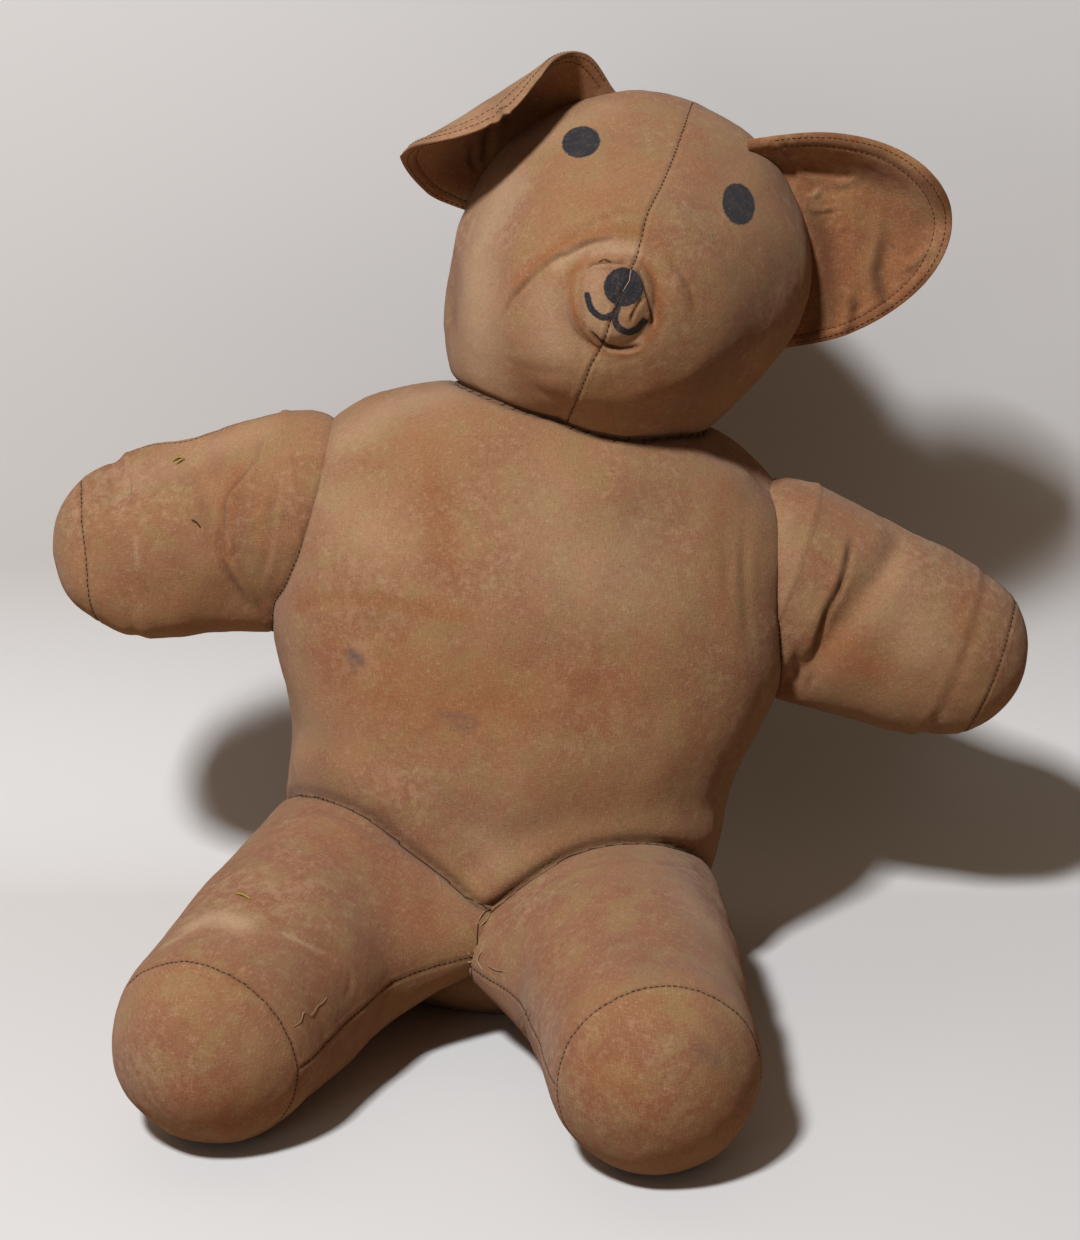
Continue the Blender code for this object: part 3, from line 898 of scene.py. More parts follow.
@dataclass
class Leg:
    """A plump leg, its top and under panels closed by a round sole.

    The length runs to the sole's seam, past which the dome stands out. The thigh, shin and ankle are radii. The flare
    widens the outer side by the hip.
    """

    side: Side
    torso: Torso
    length: float
    dome: float
    flatness: float
    flare: float
    flare_end: float
    hip_out: float
    splay: float
    root: float = 0.040
    flare_length: float = 0.056
    bluntness: float = 1.5
    thigh: float = 0.0515
    shin: float = 0.0498
    ankle: float = 0.0450
    squash: float = 0.0012
    clearance: float = 0.0035
    forward: float = 0.008
    weave_radius: float = 0.050
    turns: int = 224

    def frame(self) -> Matrix:
        """Points local Z from the hip to the sole and local Y up.

        Returns:
            The leg's frame.
        """
        out = self.side.value
        height = self.thigh * self.flatness + self.clearance
        hip = Vector((self.torso.foot + out * self.hip_out, -self.forward, height))
        slope = math.asin((hip.z - (self.ankle - self.squash)) / (self.length - self.dome))
        level = math.cos(slope)
        along = Vector((out * math.sin(self.splay) * level, -math.cos(self.splay) * level, -math.sin(slope)))
        across = along.cross(Vector((0, 0, 1))).normalized()
        axes = Matrix((across, along.cross(across), along)).transposed().to_4x4()
        return Matrix.Translation(hip) @ axes

    def skin(self) -> Skin:
        """Makes the leg's form.

        Returns:
            Its cloth before it is creased.
        """
        radii = ((0.0, self.thigh), (self.length * 0.5, self.shin), (self.length * 0.9, self.ankle))
        end, dome = self.length + self.dome, self.dome * self.bluntness
        tube = np.linspace(0, end - dome, 30)
        arc = np.linspace(0, math.pi / 2, 14)[1:]
        outline = [(0.0, -self.root), (self.thigh * 0.8, -self.root * 0.6)]
        outline += list(zip(through(radii, tube), tube))
        outline += list(zip(self.ankle * np.cos(arc), end - dome + dome * np.sin(arc)))
        profile = spline(outline, 186)
        profile[0, 0] = profile[-1, 0] = 0
        out = self.side.value

        def shape(points: Array) -> Array:
            """Shapes local points.

            Args:
                points: round, one a row.

            Returns:
                The shaped points.
            """
            x, y, z = points.T
            flatness = self.flatness + (1 - self.flatness) * smooth(z / (self.length * 0.6))
            flare = self.flare * smooth((self.flare_end - z) / self.flare_length)
            level = np.where(x * out > 0, (x / np.maximum(np.hypot(x, y), 1e-9)) ** 6, 0)
            return np.stack([x * (1 + flare * level), y * flatness, z], axis=1)

        upper = 1 if (self.frame().to_3x3() @ Vector((0, 1, 0))).z > 0 else -1
        rings = rings_of(profile, -upper * math.pi / 2, self.turns, shape)
        cap = profile[1:, 1] > self.length
        return Skin(f"leg_{self.side.word}", self.frame(), rings, weave_round(rings, self.weave_radius), cap)


@dataclass
class Head:
    """The round head with its full chin, muzzle and snout.

    Attributes:
        middle: where its middle lies, the last number above the torso's top.
        tip: how far it is tipped to the bear's left.
        nod: how far it is tipped forwards.
        turn: how far it is turned, below 0 to the bear's right.
        chin_drop: how far the chin hangs.
        jowl: how much fuller its lower cheeks are.
        slack: how much less its lower left side is filled.
        chin_swing: how far the chin hangs to the bear's right.
        pucker_radius: how wide the drawn-in ring round the snout is.
        side_seam: how far behind the middle the seam round the head lies.
    """

    torso: Torso
    middle: Place = (0.023, -0.011, 0.0635)
    tip: float = math.radians(13)
    nod: float = math.radians(5.5)
    turn: float = math.radians(-6)
    half_width: float = 0.0810
    half_height: float = 0.0775
    half_depth: float = 0.0720
    chin_drop: float = 0.008
    jowl: float = 0.14
    slack: float = 0.15
    chin_swing: float = 0.005
    muzzle_radius: float = 0.033
    muzzle_rise: float = 0.008
    muzzle_drop: float = 0.0125
    pucker_radius: float = 0.0195
    snout_radius: float = 0.0175
    snout_rise: float = 0.013
    snout_tallness: float = 1.12
    side_seam: float = 0.006
    turns: int = 330

    def frame(self) -> Matrix:
        """Tips the head towards the bear's left and turns it a little to its right.

        Returns:
            The frame at its middle.
        """
        return (
            self.torso.frame()
            @ Matrix.Translation(self.middle)
            @ Matrix.Translation((0, 0, self.torso.top))
            @ Matrix.Rotation(self.tip, 4, "Y")
            @ Matrix.Rotation(self.nod, 4, "X")
            @ Matrix.Rotation(self.turn, 4, "Z")
        )

    def outline(self) -> Array:
        """Draws the head's profile, in coarser steps for its back.

        Returns:
            Radius and forward reach, from the back of the head to the tip of the snout.
        """
        back = np.linspace(0, math.pi / 2, 7)
        points = [(math.sin(angle) * self.half_width, -self.half_depth * math.cos(angle)) for angle in back]
        cheek_end = math.asin(self.muzzle_radius / self.half_width)
        for ring in range(1, 6):
            angle = math.pi / 2 + (cheek_end - math.pi / 2) * ring / 5
            lift = self.muzzle_rise * float(smooth((ring - 2) / 3))
            points.append((math.sin(angle) * self.half_width, self.half_depth * math.cos(angle) + lift))
        rim = points[-1][1]
        points += [
            (0.0255, rim + 0.0034),
            (self.pucker_radius, rim + 0.0048),
            (self.snout_radius, rim + 0.0072),
            (self.snout_radius * 0.80, rim + self.snout_rise * 0.84),
            (self.snout_radius * 0.45, rim + self.snout_rise * 0.99),
            (0.0, rim + self.snout_rise * 1.03),
        ]
        fine = spline(points, 900)
        length = walked(fine)
        share = length / length[-1]
        pace = np.cumsum(np.interp(share, [0, 0.5, 0.66, 0.74, 1.0], [0.55, 0.62, 1.0, 2.0, 2.2]))
        pace = (pace - pace[0]) / (pace[-1] - pace[0])
        profile = read_off(np.linspace(0, 1, 190), pace, fine)
        profile[0, 0] = profile[-1, 0] = 0
        return profile

    def skin(self) -> Skin:
        """Makes the head's form.

        Returns:
            Its cloth before it is creased.
        """
        profile = self.outline() / np.array([self.half_width, 1.0])

        def shape(points: Array) -> Array:
            """Shapes local points.

            Args:
                points: round, one a row.

            Returns:
                The shaped points.
            """
            x, y, forward = points.T
            across = x * self.half_width
            snout = smooth((forward - self.half_depth * 0.8) / (self.muzzle_rise + self.snout_rise))
            up = y * (self.half_height + (self.half_width * self.snout_tallness - self.half_height) * snout)
            muzzle = smooth((forward + self.half_depth * 0.2) / self.half_depth)
            chin = self.chin_drop * smooth(-y) * (1 - muzzle)
            jowl = 1 + self.jowl * 2.6 * np.abs(x) * np.minimum(y, 0) ** 2
            slack = 1 - self.slack * smooth(np.where(x > 0, (0.25 - y) / 1.1, 0)) - 0.02 * (x < 0)
            swing = self.chin_swing * smooth((-y - 0.1) / 0.9)
            across = across * jowl * slack - swing
            return np.stack([across, -forward, up * jowl - self.muzzle_drop * muzzle - chin], axis=1)

        start = -math.pi / 2
        rings = rings_of(profile, start, self.turns, shape)
        step = np.linalg.norm(np.diff(rings, axis=0), axis=2).mean(1)
        from_back = np.concatenate([[0], np.cumsum(step)])
        reach = np.where(profile[:, 1] > -self.side_seam, from_back[-1] - from_back, from_back)
        angle = start + np.arange(self.turns + 1) / self.turns * math.tau
        weave = np.stack([reach[:, None] * np.cos(angle), reach[:, None] * np.sin(angle)], axis=2)
        return Skin("head", self.frame(), rings, weave)


@dataclass
class Ear:
    """A flat ear of two layers of cloth, curled forwards from where it enters the head.

    Attributes:
        swing: how far it starts out turned forwards, and next how that differs from edge to edge.
        curl: how far it curls over, and next how that differs from edge to edge.
        lean: how far it leans along its chord as it goes outwards.
        chord: its flat width along the head, and next its flat reach outwards.
        tilt: how far its chord is turned from upright.
        middle: where on the head its chord's middle lies, outwards and upwards.
        back: how far behind the head's middle it is sewn in.
        top_fold: how far its upper rim is bent forwards.
        rim_reach: from its middle to its rim, by which its border is measured.
        narrow: how much narrower it is gathered at the head.
        tuck: how far the corners of its root are drawn into the head.
        faded: how faded its hind layer is.
        rusty: how rusty its front layer is.
        grimy: how dirty both are.
    """

    side: Side
    head: Head
    swing: float
    swing_twist: float
    curl: float
    twist: float
    lean: float
    chord: float = 0.100
    reach: float = 0.079
    tilt: float = math.radians(26.6)
    middle: tuple[float, float] = (0.058, 0.033)
    back: float = 0.004
    thickness: float = 0.0026
    top_fold: float = 0.0
    rim_reach: float = 0.060
    narrow: float = 0.17
    tuck: float = 0.007
    faded: float = 0.30
    rusty: float = 0.35
    grimy: float = 0.22
    across: int = 150
    deep: int = 84

    def spread(self) -> Array:
        """Where the columns lie from edge to edge."""
        return np.sin(np.linspace(-1, 1, self.across) * 1.45) / math.sin(1.45)

    def run(self) -> Array:
        """Where the rows lie from the head outwards."""
        return np.sin(np.linspace(0, 1, self.deep) * 1.45) / math.sin(1.45)

    def row_of_stitches(self, flap: Flap, inset: float, back: bool) -> Array:
        """A line that follows the rim on one face.

        Args:
            flap: the ear as it now stands.
            inset: how far inside the rim.
            back: whether it is on the hind face.

        Returns:
            Its points in space.
        """
        angle = np.linspace(0.04, 0.96, 240) * math.pi
        radius = 1 - inset / self.rim_reach
        u, v = radius * np.cos(angle), radius * np.sin(angle)
        root = 2 * math.sqrt(2)
        plus, minus = 2 + u**2 - v**2, 2 - u**2 + v**2
        across = (np.sqrt(np.maximum(plus + root * u, 0)) - np.sqrt(np.maximum(plus - root * u, 0))) / 2
        reach = (np.sqrt(np.maximum(minus + root * v, 0)) - np.sqrt(np.maximum(minus - root * v, 0))) / 2
        row = np.interp(reach, self.run(), np.arange(self.deep))
        column = np.interp(across, self.spread(), np.arange(self.across))
        return flap.at(row, column, back)

    def flap(self) -> Flap:
        """Makes the ear's form.

        Returns:
            The ear before it is creased.
        """
        out = self.side.value
        across, reach = np.meshgrid(self.spread(), self.run())
        outward = np.array([out * math.cos(self.tilt), 0, math.sin(self.tilt)])
        along = np.array([-out * math.sin(self.tilt), 0, math.cos(self.tilt)])
        forward = np.array([0, -1.0, 0])
        middle = np.array([out * self.middle[0], self.back, self.middle[1]])
        length = reach * np.sqrt(1 - across**2 / 2) * self.reach
        narrow = 1 - self.narrow * (1 - smooth(reach / 0.42))
        chord = across * np.sqrt(1 - reach**2 / 2) * narrow * self.chord / 2 + self.lean * length
        swing = self.swing + self.swing_twist * across
        turn = self.curl * (1 + self.twist * across) / self.reach
        outwards = (np.sin(swing + turn * length) - np.sin(swing)) / turn
        outwards = outwards - self.tuck * smooth((np.abs(across) - 0.3) / 0.7) * (1 - smooth(reach / 0.5))
        forwards = (np.cos(swing) - np.cos(swing + turn * length)) / turn
        sheet = middle + along * chord[..., None] + outward * outwards[..., None] + forward * forwards[..., None]
        round_it = np.sqrt(across**2 + reach**2 - across**2 * reach**2)
        rim = (1 - round_it) * self.rim_reach
        bend = self.top_fold * smooth((round_it - 0.60) / 0.40) * smooth((across + 0.15) / 0.9)
        sheet = sheet + forward * bend[..., None] - along * bend[..., None] * 0.10
        padding = self.thickness / 2 * (1 - np.exp(-rim / (2.2 * MM)))
        # the seam allowance inside the rim stands up a little, and the inner row of stitches draws the cloth in
        allowance = 0.35 * MM * np.exp(-(((rim - 3.4 * MM) / (1.8 * MM)) ** 2))
        groove = 0.3 * MM * np.exp(-(((rim - 6.0 * MM) / (0.8 * MM)) ** 2))
        half = 0.45 * MM + padding + allowance - groove
        weave = np.stack([chord, length], axis=2)
        return Flap(f"ear_{self.side.word}", self.head.frame(), sheet, weave, half)


# ---------------------------------------------------------------- thread


@dataclass(frozen=True)
class Stitching:
    """How a seam is sewn.

    Attributes:
        pitch: from one stitch to the next.
        length: how long each is.
        thickness: how thick its thread is.
        slant: how far it is turned from the seam's line.
        raised: how far it stands above the cloth.
        uneven: how much its length, place and turn vary, 0 for a machine's.
    """

    pitch: float = 2.5 * MM
    length: float = 1.65 * MM
    thickness: float = 0.62 * MM
    slant: float = 0.0
    raised: float = 0.05 * MM
    uneven: float = 0.16


@dataclass(frozen=True)
class Strand:
    """A loose end, a straw or a bit of lint, along pixels of the photograph.

    Attributes:
        pixels: its line, on the piece that its first pixel shows.
        radius: how thick it is, as a radius in millimetres.
        lift: how far its middle stands off the cloth, in millimetres.
    """

    pixels: Pixels
    radius: float = 0.18
    lift: float = 0.4


class Threads:
    """Stitches or strands of one thread that are kept as one piece."""

    def __init__(self, name: str, grain: Grain) -> None:
        """Starts with none.

        Args:
            name: what the piece is called.
            grain: makes the sewing uneven.
        """
        self.name, self.grain = name, grain
        self.points: list[Array] = []
        self.faces: list[tuple[int, ...]] = []
        self.count = 0

    def tube(self, line: Array, radius: float, facing: Array, sides: int = 6) -> None:
        """Adds a round strand with pointed ends.

        Args:
            line: its points in space.
            radius: its radius.
            facing: a direction across it at each point.
            sides: how many sides it has.
        """
        along = unit(np.gradient(line, axis=0))
        first = unit(facing - (facing * along).sum(1)[:, None] * along)[:, None]
        second = np.cross(along, first[:, 0])[:, None]
        angle = np.arange(sides)[:, None] / sides * math.tau
        rings = line[:, None] + radius * (first * np.cos(angle) + second * np.sin(angle))
        tip, tail = line[0] - along[0] * radius, line[-1] + along[-1] * radius
        start, last = self.count, self.count + len(line) * sides
        for ring in range(len(line) - 1):
            low = start + ring * sides
            for side in range(sides):
                after = (side + 1) % sides
                self.faces.append((low + side, low + after, low + sides + after, low + sides + side))
        for side in range(sides):
            after = (side + 1) % sides
            self.faces.append((last, start + after, start + side))
            self.faces.append((last + 1, last - sides + side, last - sides + after))
        self.points.append(np.vstack([rings.reshape(-1, 3), tip, tail]))
        self.count += len(line) * sides + 2

    def sew(self, line: Array, facing: Array, stitching: Stitching) -> None:
        """Adds one stitch after another along a seam.

        Args:
            line: the seam's points on the cloth.
            facing: the cloth's outward direction at each.
            stitching: how it is sewn.
        """
        length = walked(line)
        wanted = np.arange(stitching.pitch / 2, length[-1], stitching.pitch)
        seed = np.stack([wanted * 97, wanted * 0, wanted * 0], axis=1)
        shift, turn = self.grain.at(seed, 0.09), self.grain.at(seed + 5, 0.09)
        wanted = np.clip(wanted + shift * stitching.uneven * stitching.pitch, 0, length[-1])
        spots = read_off(wanted, length, line)
        normals = unit(read_off(wanted, length, facing))
        alongs = unit(read_off(wanted, length, np.gradient(line, axis=0)))
        over = np.cross(normals, alongs)
        angle = stitching.slant + turn * stitching.uneven * 2
        way = alongs * np.cos(angle)[:, None] + over * np.sin(angle)[:, None]
        size = stitching.length * (1 + 0.8 * stitching.uneven * turn)
        spots = spots + over * (shift * stitching.uneven * 1.4 * MM)[:, None]
        steps = np.array([-0.5, -0.28, 0.28, 0.5])
        sink = np.array([0.75, 0.0, 0.0, 0.75]) * stitching.thickness
        for spot, normal, direction, reach in zip(spots, normals, way, size):
            middle = spot + direction * (steps * reach)[:, None] + normal * (stitching.raised - sink)[:, None]
            self.tube(middle, stitching.thickness / 2, np.repeat(normal[None], 4, axis=0))

    def make(self, finish: bpy.types.Material) -> bpy.types.Object:
        """Makes the piece and ties it to the frame.

        Args:
            finish: its material.

        Returns:
            The object.
        """
        data = bpy.data.meshes.new(self.name)
        data.from_pydata(np.vstack(self.points).tolist(), [], self.faces)
        data.update()
        data.shade_smooth()
        data.materials.append(finish)
        made = added(self.name, data)
        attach(made, "root")
        LOG.info("%s: %d faces", self.name, len(self.faces))
        return made


# ---------------------------------------------------------------- finishes


class Value:
    """A number that a shader works out, so that sums on it add Math nodes."""

    def __init__(self, shader: "Shader", socket: bpy.types.NodeSocket) -> None:
        """Wraps an output socket."""
        self.shader, self.socket = shader, socket

    def sum_with(self, operation: str, *others: "Value | float", first: bool = True) -> "Value":
        """One Math node.

        Args:
            operation: what it does.
            others: its other values.
            first: False puts this value second.

        Returns:
            The node's result.
        """
        values = [self, *others] if first else [*others, self]
        return self.shader.node("ShaderNodeMath", {"operation": operation}, dict(enumerate(values)))

    def __add__(self, other: "Value | float") -> "Value":
        """This plus another."""
        return self.sum_with("ADD", other)

    __radd__ = __add__

    def __sub__(self, other: "Value | float") -> "Value":
        """This less another."""
        return self.sum_with("SUBTRACT", other)

    def __rsub__(self, other: "Value | float") -> "Value":
        """Another less this."""
        return self.sum_with("SUBTRACT", other, first=False)

    def __mul__(self, other: "Value | float") -> "Value":
        """This times another."""
        return self.sum_with("MULTIPLY", other)

    def sine(self) -> "Value":
        """Its sine."""
        return self.sum_with("SINE")

    def between(self, low: float, high: float) -> "Value":
        """A soft step.

        Args:
            low: where it is 0.
            high: where it is 1, which may be the lower of the two.

        Returns:
            A value from 0 to 1.
        """
        turned = low > high
        settings = {"interpolation_type": "SMOOTHSTEP"}
        sockets = {0: self, 1: min(low, high), 2: max(low, high), 3: float(turned), 4: float(not turned)}
        return self.shader.node("ShaderNodeMapRange", settings, sockets)


class Shader:
    """A material whose nodes are added by name."""

    def __init__(self, name: str) -> None:
        """Makes an empty material.

        Args:
            name: the finish's name.
        """
        self.material = bpy.data.materials.new(name)
        self.material.use_nodes = True
        self.tree = self.material.node_tree
        self.tree.nodes.clear()

    def node(self, kind: str, settings: dict, sockets: dict, output: int | str = 0) -> Value:
        """Adds a node.

        Args:
            kind: the node's type.
            settings: its own settings.
            sockets: numbers, colours or values for its inputs, by name or place.
            output: the output that is wanted.

        Returns:
            That output.
        """
        made = self.tree.nodes.new(kind)
        for setting, value in settings.items():
            setattr(made, setting, value)
        for socket, value in sockets.items():
            if isinstance(value, Value):
                self.tree.links.new(value.socket, made.inputs[socket])
            elif isinstance(value, tuple) and len(made.inputs[socket].default_value) == 4:
                made.inputs[socket].default_value = (*value, 1)
            else:
                made.inputs[socket].default_value = value
        return Value(self, made.outputs[output])

    def mark(self, name: str) -> Value:
        """One of the marks that a piece carries."""
        return self.node("ShaderNodeAttribute", {"attribute_name": name}, {}, "Fac")

    def noise(self, place: Value, size: float, detail: float, rough: float, kind: str = "3D") -> Value:
        """Noise with lumps of about this size in metres."""
        sockets = {"Vector": place, "Scale": 1 / size, "Detail": detail, "Roughness": rough}
        return self.node("ShaderNodeTexNoise", {"noise_dimensions": kind}, sockets)

    def mix(self, share: Value | float, before: Value | Colour, after: Value | Colour) -> Value:
        """One colour into another."""
        settings = {"data_type": "RGBA", "clamp_factor": True}
        return self.node("ShaderNodeMix", settings, {0: share, 6: before, 7: after}, 2)

    def stretched(self, place: Value, sizes: tuple[float, float, float]) -> Value:
        """A place measured in these sizes along its three axes."""
        settings = {"operation": "MULTIPLY"}
        return self.node("ShaderNodeVectorMath", settings, {0: place, 1: tuple(1 / size for size in sizes)})

    def finish(self, **sockets: Value | float | Colour) -> bpy.types.Material:
        """Ends in one Principled shader.

        Args:
            sockets: its inputs, with _ for a space.

        Returns:
            The material.
        """
        named = {name.replace("_", " "): value for name, value in sockets.items()}
        return self.end(self.node("ShaderNodeBsdfPrincipled", {}, named))

    def end(self, surface: Value) -> bpy.types.Material:
        """Shows a surface, and gives the material."""
        self.tree.links.new(surface.socket, self.tree.nodes.new("ShaderNodeOutputMaterial").inputs["Surface"])
        return self.material


@dataclass(frozen=True)
class WornCotton:
    """Plain-woven brown cotton, faded, stained and rubbed, with painted shade in its creases and painted highlight in
    places.

    Attributes:
        name: what the finish is called.
        plain: its main colour.
        rosy: the redder brown that it is mottled with.
        pale: where it has faded or worn thin, and where highlight is painted on its lit side.
        olive: where it has yellowed.
        rusty: old orange stains.
        dark: the painted shade in its creases, seams and hollows, with some grime, and its darker single threads.
        soot: grey stains.
        ink: the painted face.
        rosiness: how much of it is redder, from 0 to 1.
        pitch: from one thread of the weave to the next but one.
        slub: how thick its uneven threads are.
    """

    name: str
    plain: Colour = (0.345, 0.176, 0.084)
    rosy: Colour = (0.266, 0.108, 0.054)
    pale: Colour = (0.530, 0.345, 0.210)
    olive: Colour = (0.310, 0.196, 0.082)
    rusty: Colour = (0.300, 0.088, 0.020)
    dark: Colour = (0.055, 0.020, 0.010)
    soot: Colour = (0.060, 0.058, 0.070)
    ink: Colour = (0.020, 0.021, 0.029)
    rosiness: float = 0.45
    pitch: float = 0.62 * MM
    slub: float = 0.50 * MM

    def make(self) -> bpy.types.Material:
        """Makes the cloth, with its weave, its stains, its paint and its painted shade and highlight.

        Returns:
            The material.
        """
        shader = Shader(self.name)
        place = shader.node("ShaderNodeTexCoord", {}, {}, "Object")
        weave = shader.node("ShaderNodeUVMap", {"uv_map": "weave"}, {})
        clouds = shader.noise(place, 0.060, 2, 0.6)
        blots = shader.noise(place, 0.026, 5, 0.62)
        flecks = shader.noise(place, 0.0046, 3, 0.7)
        fuzz = shader.noise(place, 0.0011, 2, 0.6)
        slubs_along = shader.noise(shader.stretched(weave, (self.slub, 3.6 * MM, 1)), 1, 1, 0.5, "2D")
        slubs_across = shader.noise(shader.stretched(weave, (3.2 * MM, self.slub, 1)), 1, 1, 0.5, "2D")
        threads = slubs_along * 0.5 + slubs_across * 0.5
        # the dye, mottled, yellowed and faded
        redness = (clouds * 0.5 + blots * 0.5 + (self.rosiness - 0.5) * 0.20).between(0.36, 0.66)
        cloth = shader.mix(redness * 0.82, self.plain, self.rosy)
        cloth = shader.mix(shader.noise(place, 0.014, 4, 0.62).between(0.46, 0.62) * 0.55, cloth, self.olive)
        faded = (clouds * 0.4 + flecks * 0.6).between(0.50, 0.66)
        cloth = shader.mix(faded * 0.32, cloth, self.pale)
        # worn places, partly painted highlight on the lit side, and rust, and the single threads over them
        cloth = shader.mix(shader.mark("rub") * (0.55 + threads * 0.6), cloth, self.pale)
        cloth = shader.mix(shader.mark("rust") * (0.25 + blots * 1.1), cloth, self.rusty)
        single = threads * 0.6 + fuzz * 0.4
        cloth = shader.mix(single.between(0.50, 0.74) * 0.46, cloth, self.pale)
        cloth = shader.mix(single.between(0.50, 0.26) * 0.30, cloth, self.dark)
        # stains, painted shade with some grime in the creases and seams, and the paint, which is ragged at its edge and
        # worn off the raised threads
        cloth = shader.mix(shader.mark("stain") * (flecks * 1.6 - 0.3 + threads * 0.4), cloth, self.soot)
        cloth = shader.mix(shader.mark("fold") * (0.75 + flecks * 0.35), cloth, self.dark)
        ragged = shader.mark("ink") + (flecks - 0.5) + (threads - 0.5) * 1.6
        worn = (threads * 0.6 + flecks * 0.4).between(0.62, 0.48)
        inked = ragged.between(-0.20, 0.30) * (0.85 + worn * 0.15)
        cloth = shader.mix(inked, cloth, self.ink)
        along = shader.node("ShaderNodeSeparateXYZ", {}, {0: weave}, "X") * (math.tau / self.pitch)
        across = shader.node("ShaderNodeSeparateXYZ", {}, {0: weave}, "Y") * (math.tau / self.pitch)
        crossing = along.sine() * across.sine()
        height = crossing * 0.22 + threads * 0.8 + fuzz * 0.7 + flecks * 0.4
        bump = shader.node("ShaderNodeBump", {}, {"Strength": 0.55, "Distance": 0.0006, "Height": height})
        return shader.finish(
            Base_Color=cloth, Roughness=0.97 - inked * 0.22, Normal=bump, Specular_IOR_Level=0.18,
            Sheen_Weight=0.12, Sheen_Roughness=0.55,
        )


@dataclass(frozen=True)
class Plain:
    """A finish that is mottled from one colour to another, for thread and straw."""

    name: str
    colour: Colour
    other: Colour
    size: float = 0.004
    roughness: float = 0.9

    def make(self) -> bpy.types.Material:
        """Makes the finish.

        Returns:
            The material.
        """
        shader = Shader(self.name)
        place = shader.node("ShaderNodeTexCoord", {}, {}, "Object")
        patches = shader.noise(place, self.size, 3, 0.6)
        colour = shader.mix(patches.between(0.35, 0.65), self.colour, self.other)
        return shader.finish(Base_Color=colour, Roughness=self.roughness, Specular_IOR_Level=0.2)


# ---------------------------------------------------------------- studio


@dataclass(frozen=True)
class Lamp:
    """A soft square lamp that points at the bear's chest."""

    name: str
    place: Place
    size: float
    power: float
    target: Place = (0.02, 0.0, 0.18)

    def make(self) -> None:
        """Adds the lamp."""
        data = bpy.data.lights.new(self.name, "AREA")
        data.size, data.energy = self.size, self.power
        lamp = added(self.name, data)
        lamp.location = self.place
        way = Vector(self.target) - Vector(self.place)
        lamp.rotation_euler = way.to_track_quat("-Z", "Y").to_euler()


@dataclass(frozen=True)
class Studio:
    """A sweep of pale paper, a key lamp, a weak fill lamp and a faint warm sky.

    Attributes:
        floor_size: the width of the paper.
        sky: the light from all round.
        backdrop: what shows past the paper's edge, and lights nothing.
        paper_shown: the paper as the camera sees it.
        paper_lit: the paper as light meets it, darker, so that it throws little light back onto the bear.
        sweep_start: how far behind the bear's middle the paper turns up.
        sweep_radius: how wide that turn is.
        sweep_height: how high the paper goes on above it.
    """

    floor_size: float = 14.0
    lamps: Sequence[Lamp] = (
        Lamp("key_lamp", (-0.68, -1.27, 2.02), 0.24, 56.0),
        Lamp("fill_lamp", (-0.90, -1.60, 0.60), 0.40, 1.2),
    )
    sky: Colour = (0.064, 0.04992, 0.03712)
    backdrop: Colour = (0.6, 0.6, 0.6)
    paper_shown: Colour = (0.72, 0.72, 0.725)
    paper_lit: Colour = (0.38, 0.29, 0.21)
    sweep_start: float = 0.08
    sweep_radius: float = 0.13
    sweep_height: float = 4.0

    def make(self) -> None:
        """Adds the floor, the lamps and the world."""
        scene = bpy.context.scene
        scene.view_settings.view_transform = "Standard"
        bpy.ops.object.select_all(action="DESELECT")
        bpy.ops.mesh.primitive_grid_add(x_subdivisions=2, y_subdivisions=90, size=self.floor_size)
        floor = bpy.context.object
        floor.name = "paper_sweep"
        self.sweep(floor)
        floor.data.materials.append(self.paper())
        for lamp in self.lamps:
            lamp.make()
        self.sky_light()

    def sweep(self, floor: bpy.types.Object) -> None:
        """Bends the paper up behind the bear, as a photographer's sweep.

        Args:
            floor: the flat paper.
        """
        rows = sorted({round(vertex.co.y, 5) for vertex in floor.data.vertices})
        bends = len(rows) - 2
        for vertex in floor.data.vertices:
            row = rows.index(round(vertex.co.y, 5))
            if row == 0:
                continue
            angle = math.pi / 2 * min((row - 1) / (bends - 1), 1)
            vertex.co.y = self.sweep_start + self.sweep_radius * math.sin(angle)
            vertex.co.z = self.sweep_radius * (1 - math.cos(angle)) + (self.sweep_height if row > bends else 0)
        floor.data.shade_smooth()

    def paper(self) -> bpy.types.Material:
        """Makes the paper's finish, which is clear from behind so that it doesn't hide the bear.

        Returns:
            The material.
        """
        shader = Shader("pale_paper")
        camera = shader.node("ShaderNodeLightPath", {}, {}, "Is Camera Ray")
        behind = shader.node("ShaderNodeNewGeometry", {}, {}, "Backfacing")
        colour = shader.mix(camera, self.paper_lit, self.paper_shown)
        matt = shader.node("ShaderNodeBsdfDiffuse", {}, {"Color": colour})
        clear = shader.node("ShaderNodeBsdfTransparent", {}, {})
        both = shader.node("ShaderNodeMixShader", {}, {0: behind, 1: matt, 2: clear})
        return shader.end(both)

    def sky_light(self) -> None:
        """Lights the room weakly from all round, and shows pale past the paper's edge."""
        world = bpy.data.worlds.new("studio")
        bpy.context.scene.world = world
        world.use_nodes = True
        tree = world.node_tree
        sky = tree.nodes["Background"]
        path, seen = tree.nodes.new("ShaderNodeLightPath"), tree.nodes.new("ShaderNodeMix")
        seen.data_type = "RGBA"
        seen.inputs[6].default_value, seen.inputs[7].default_value = (*self.sky, 1), (*self.backdrop, 1)
        tree.links.new(path.outputs["Is Camera Ray"], seen.inputs[0])
        tree.links.new(seen.outputs[2], sky.inputs["Color"])
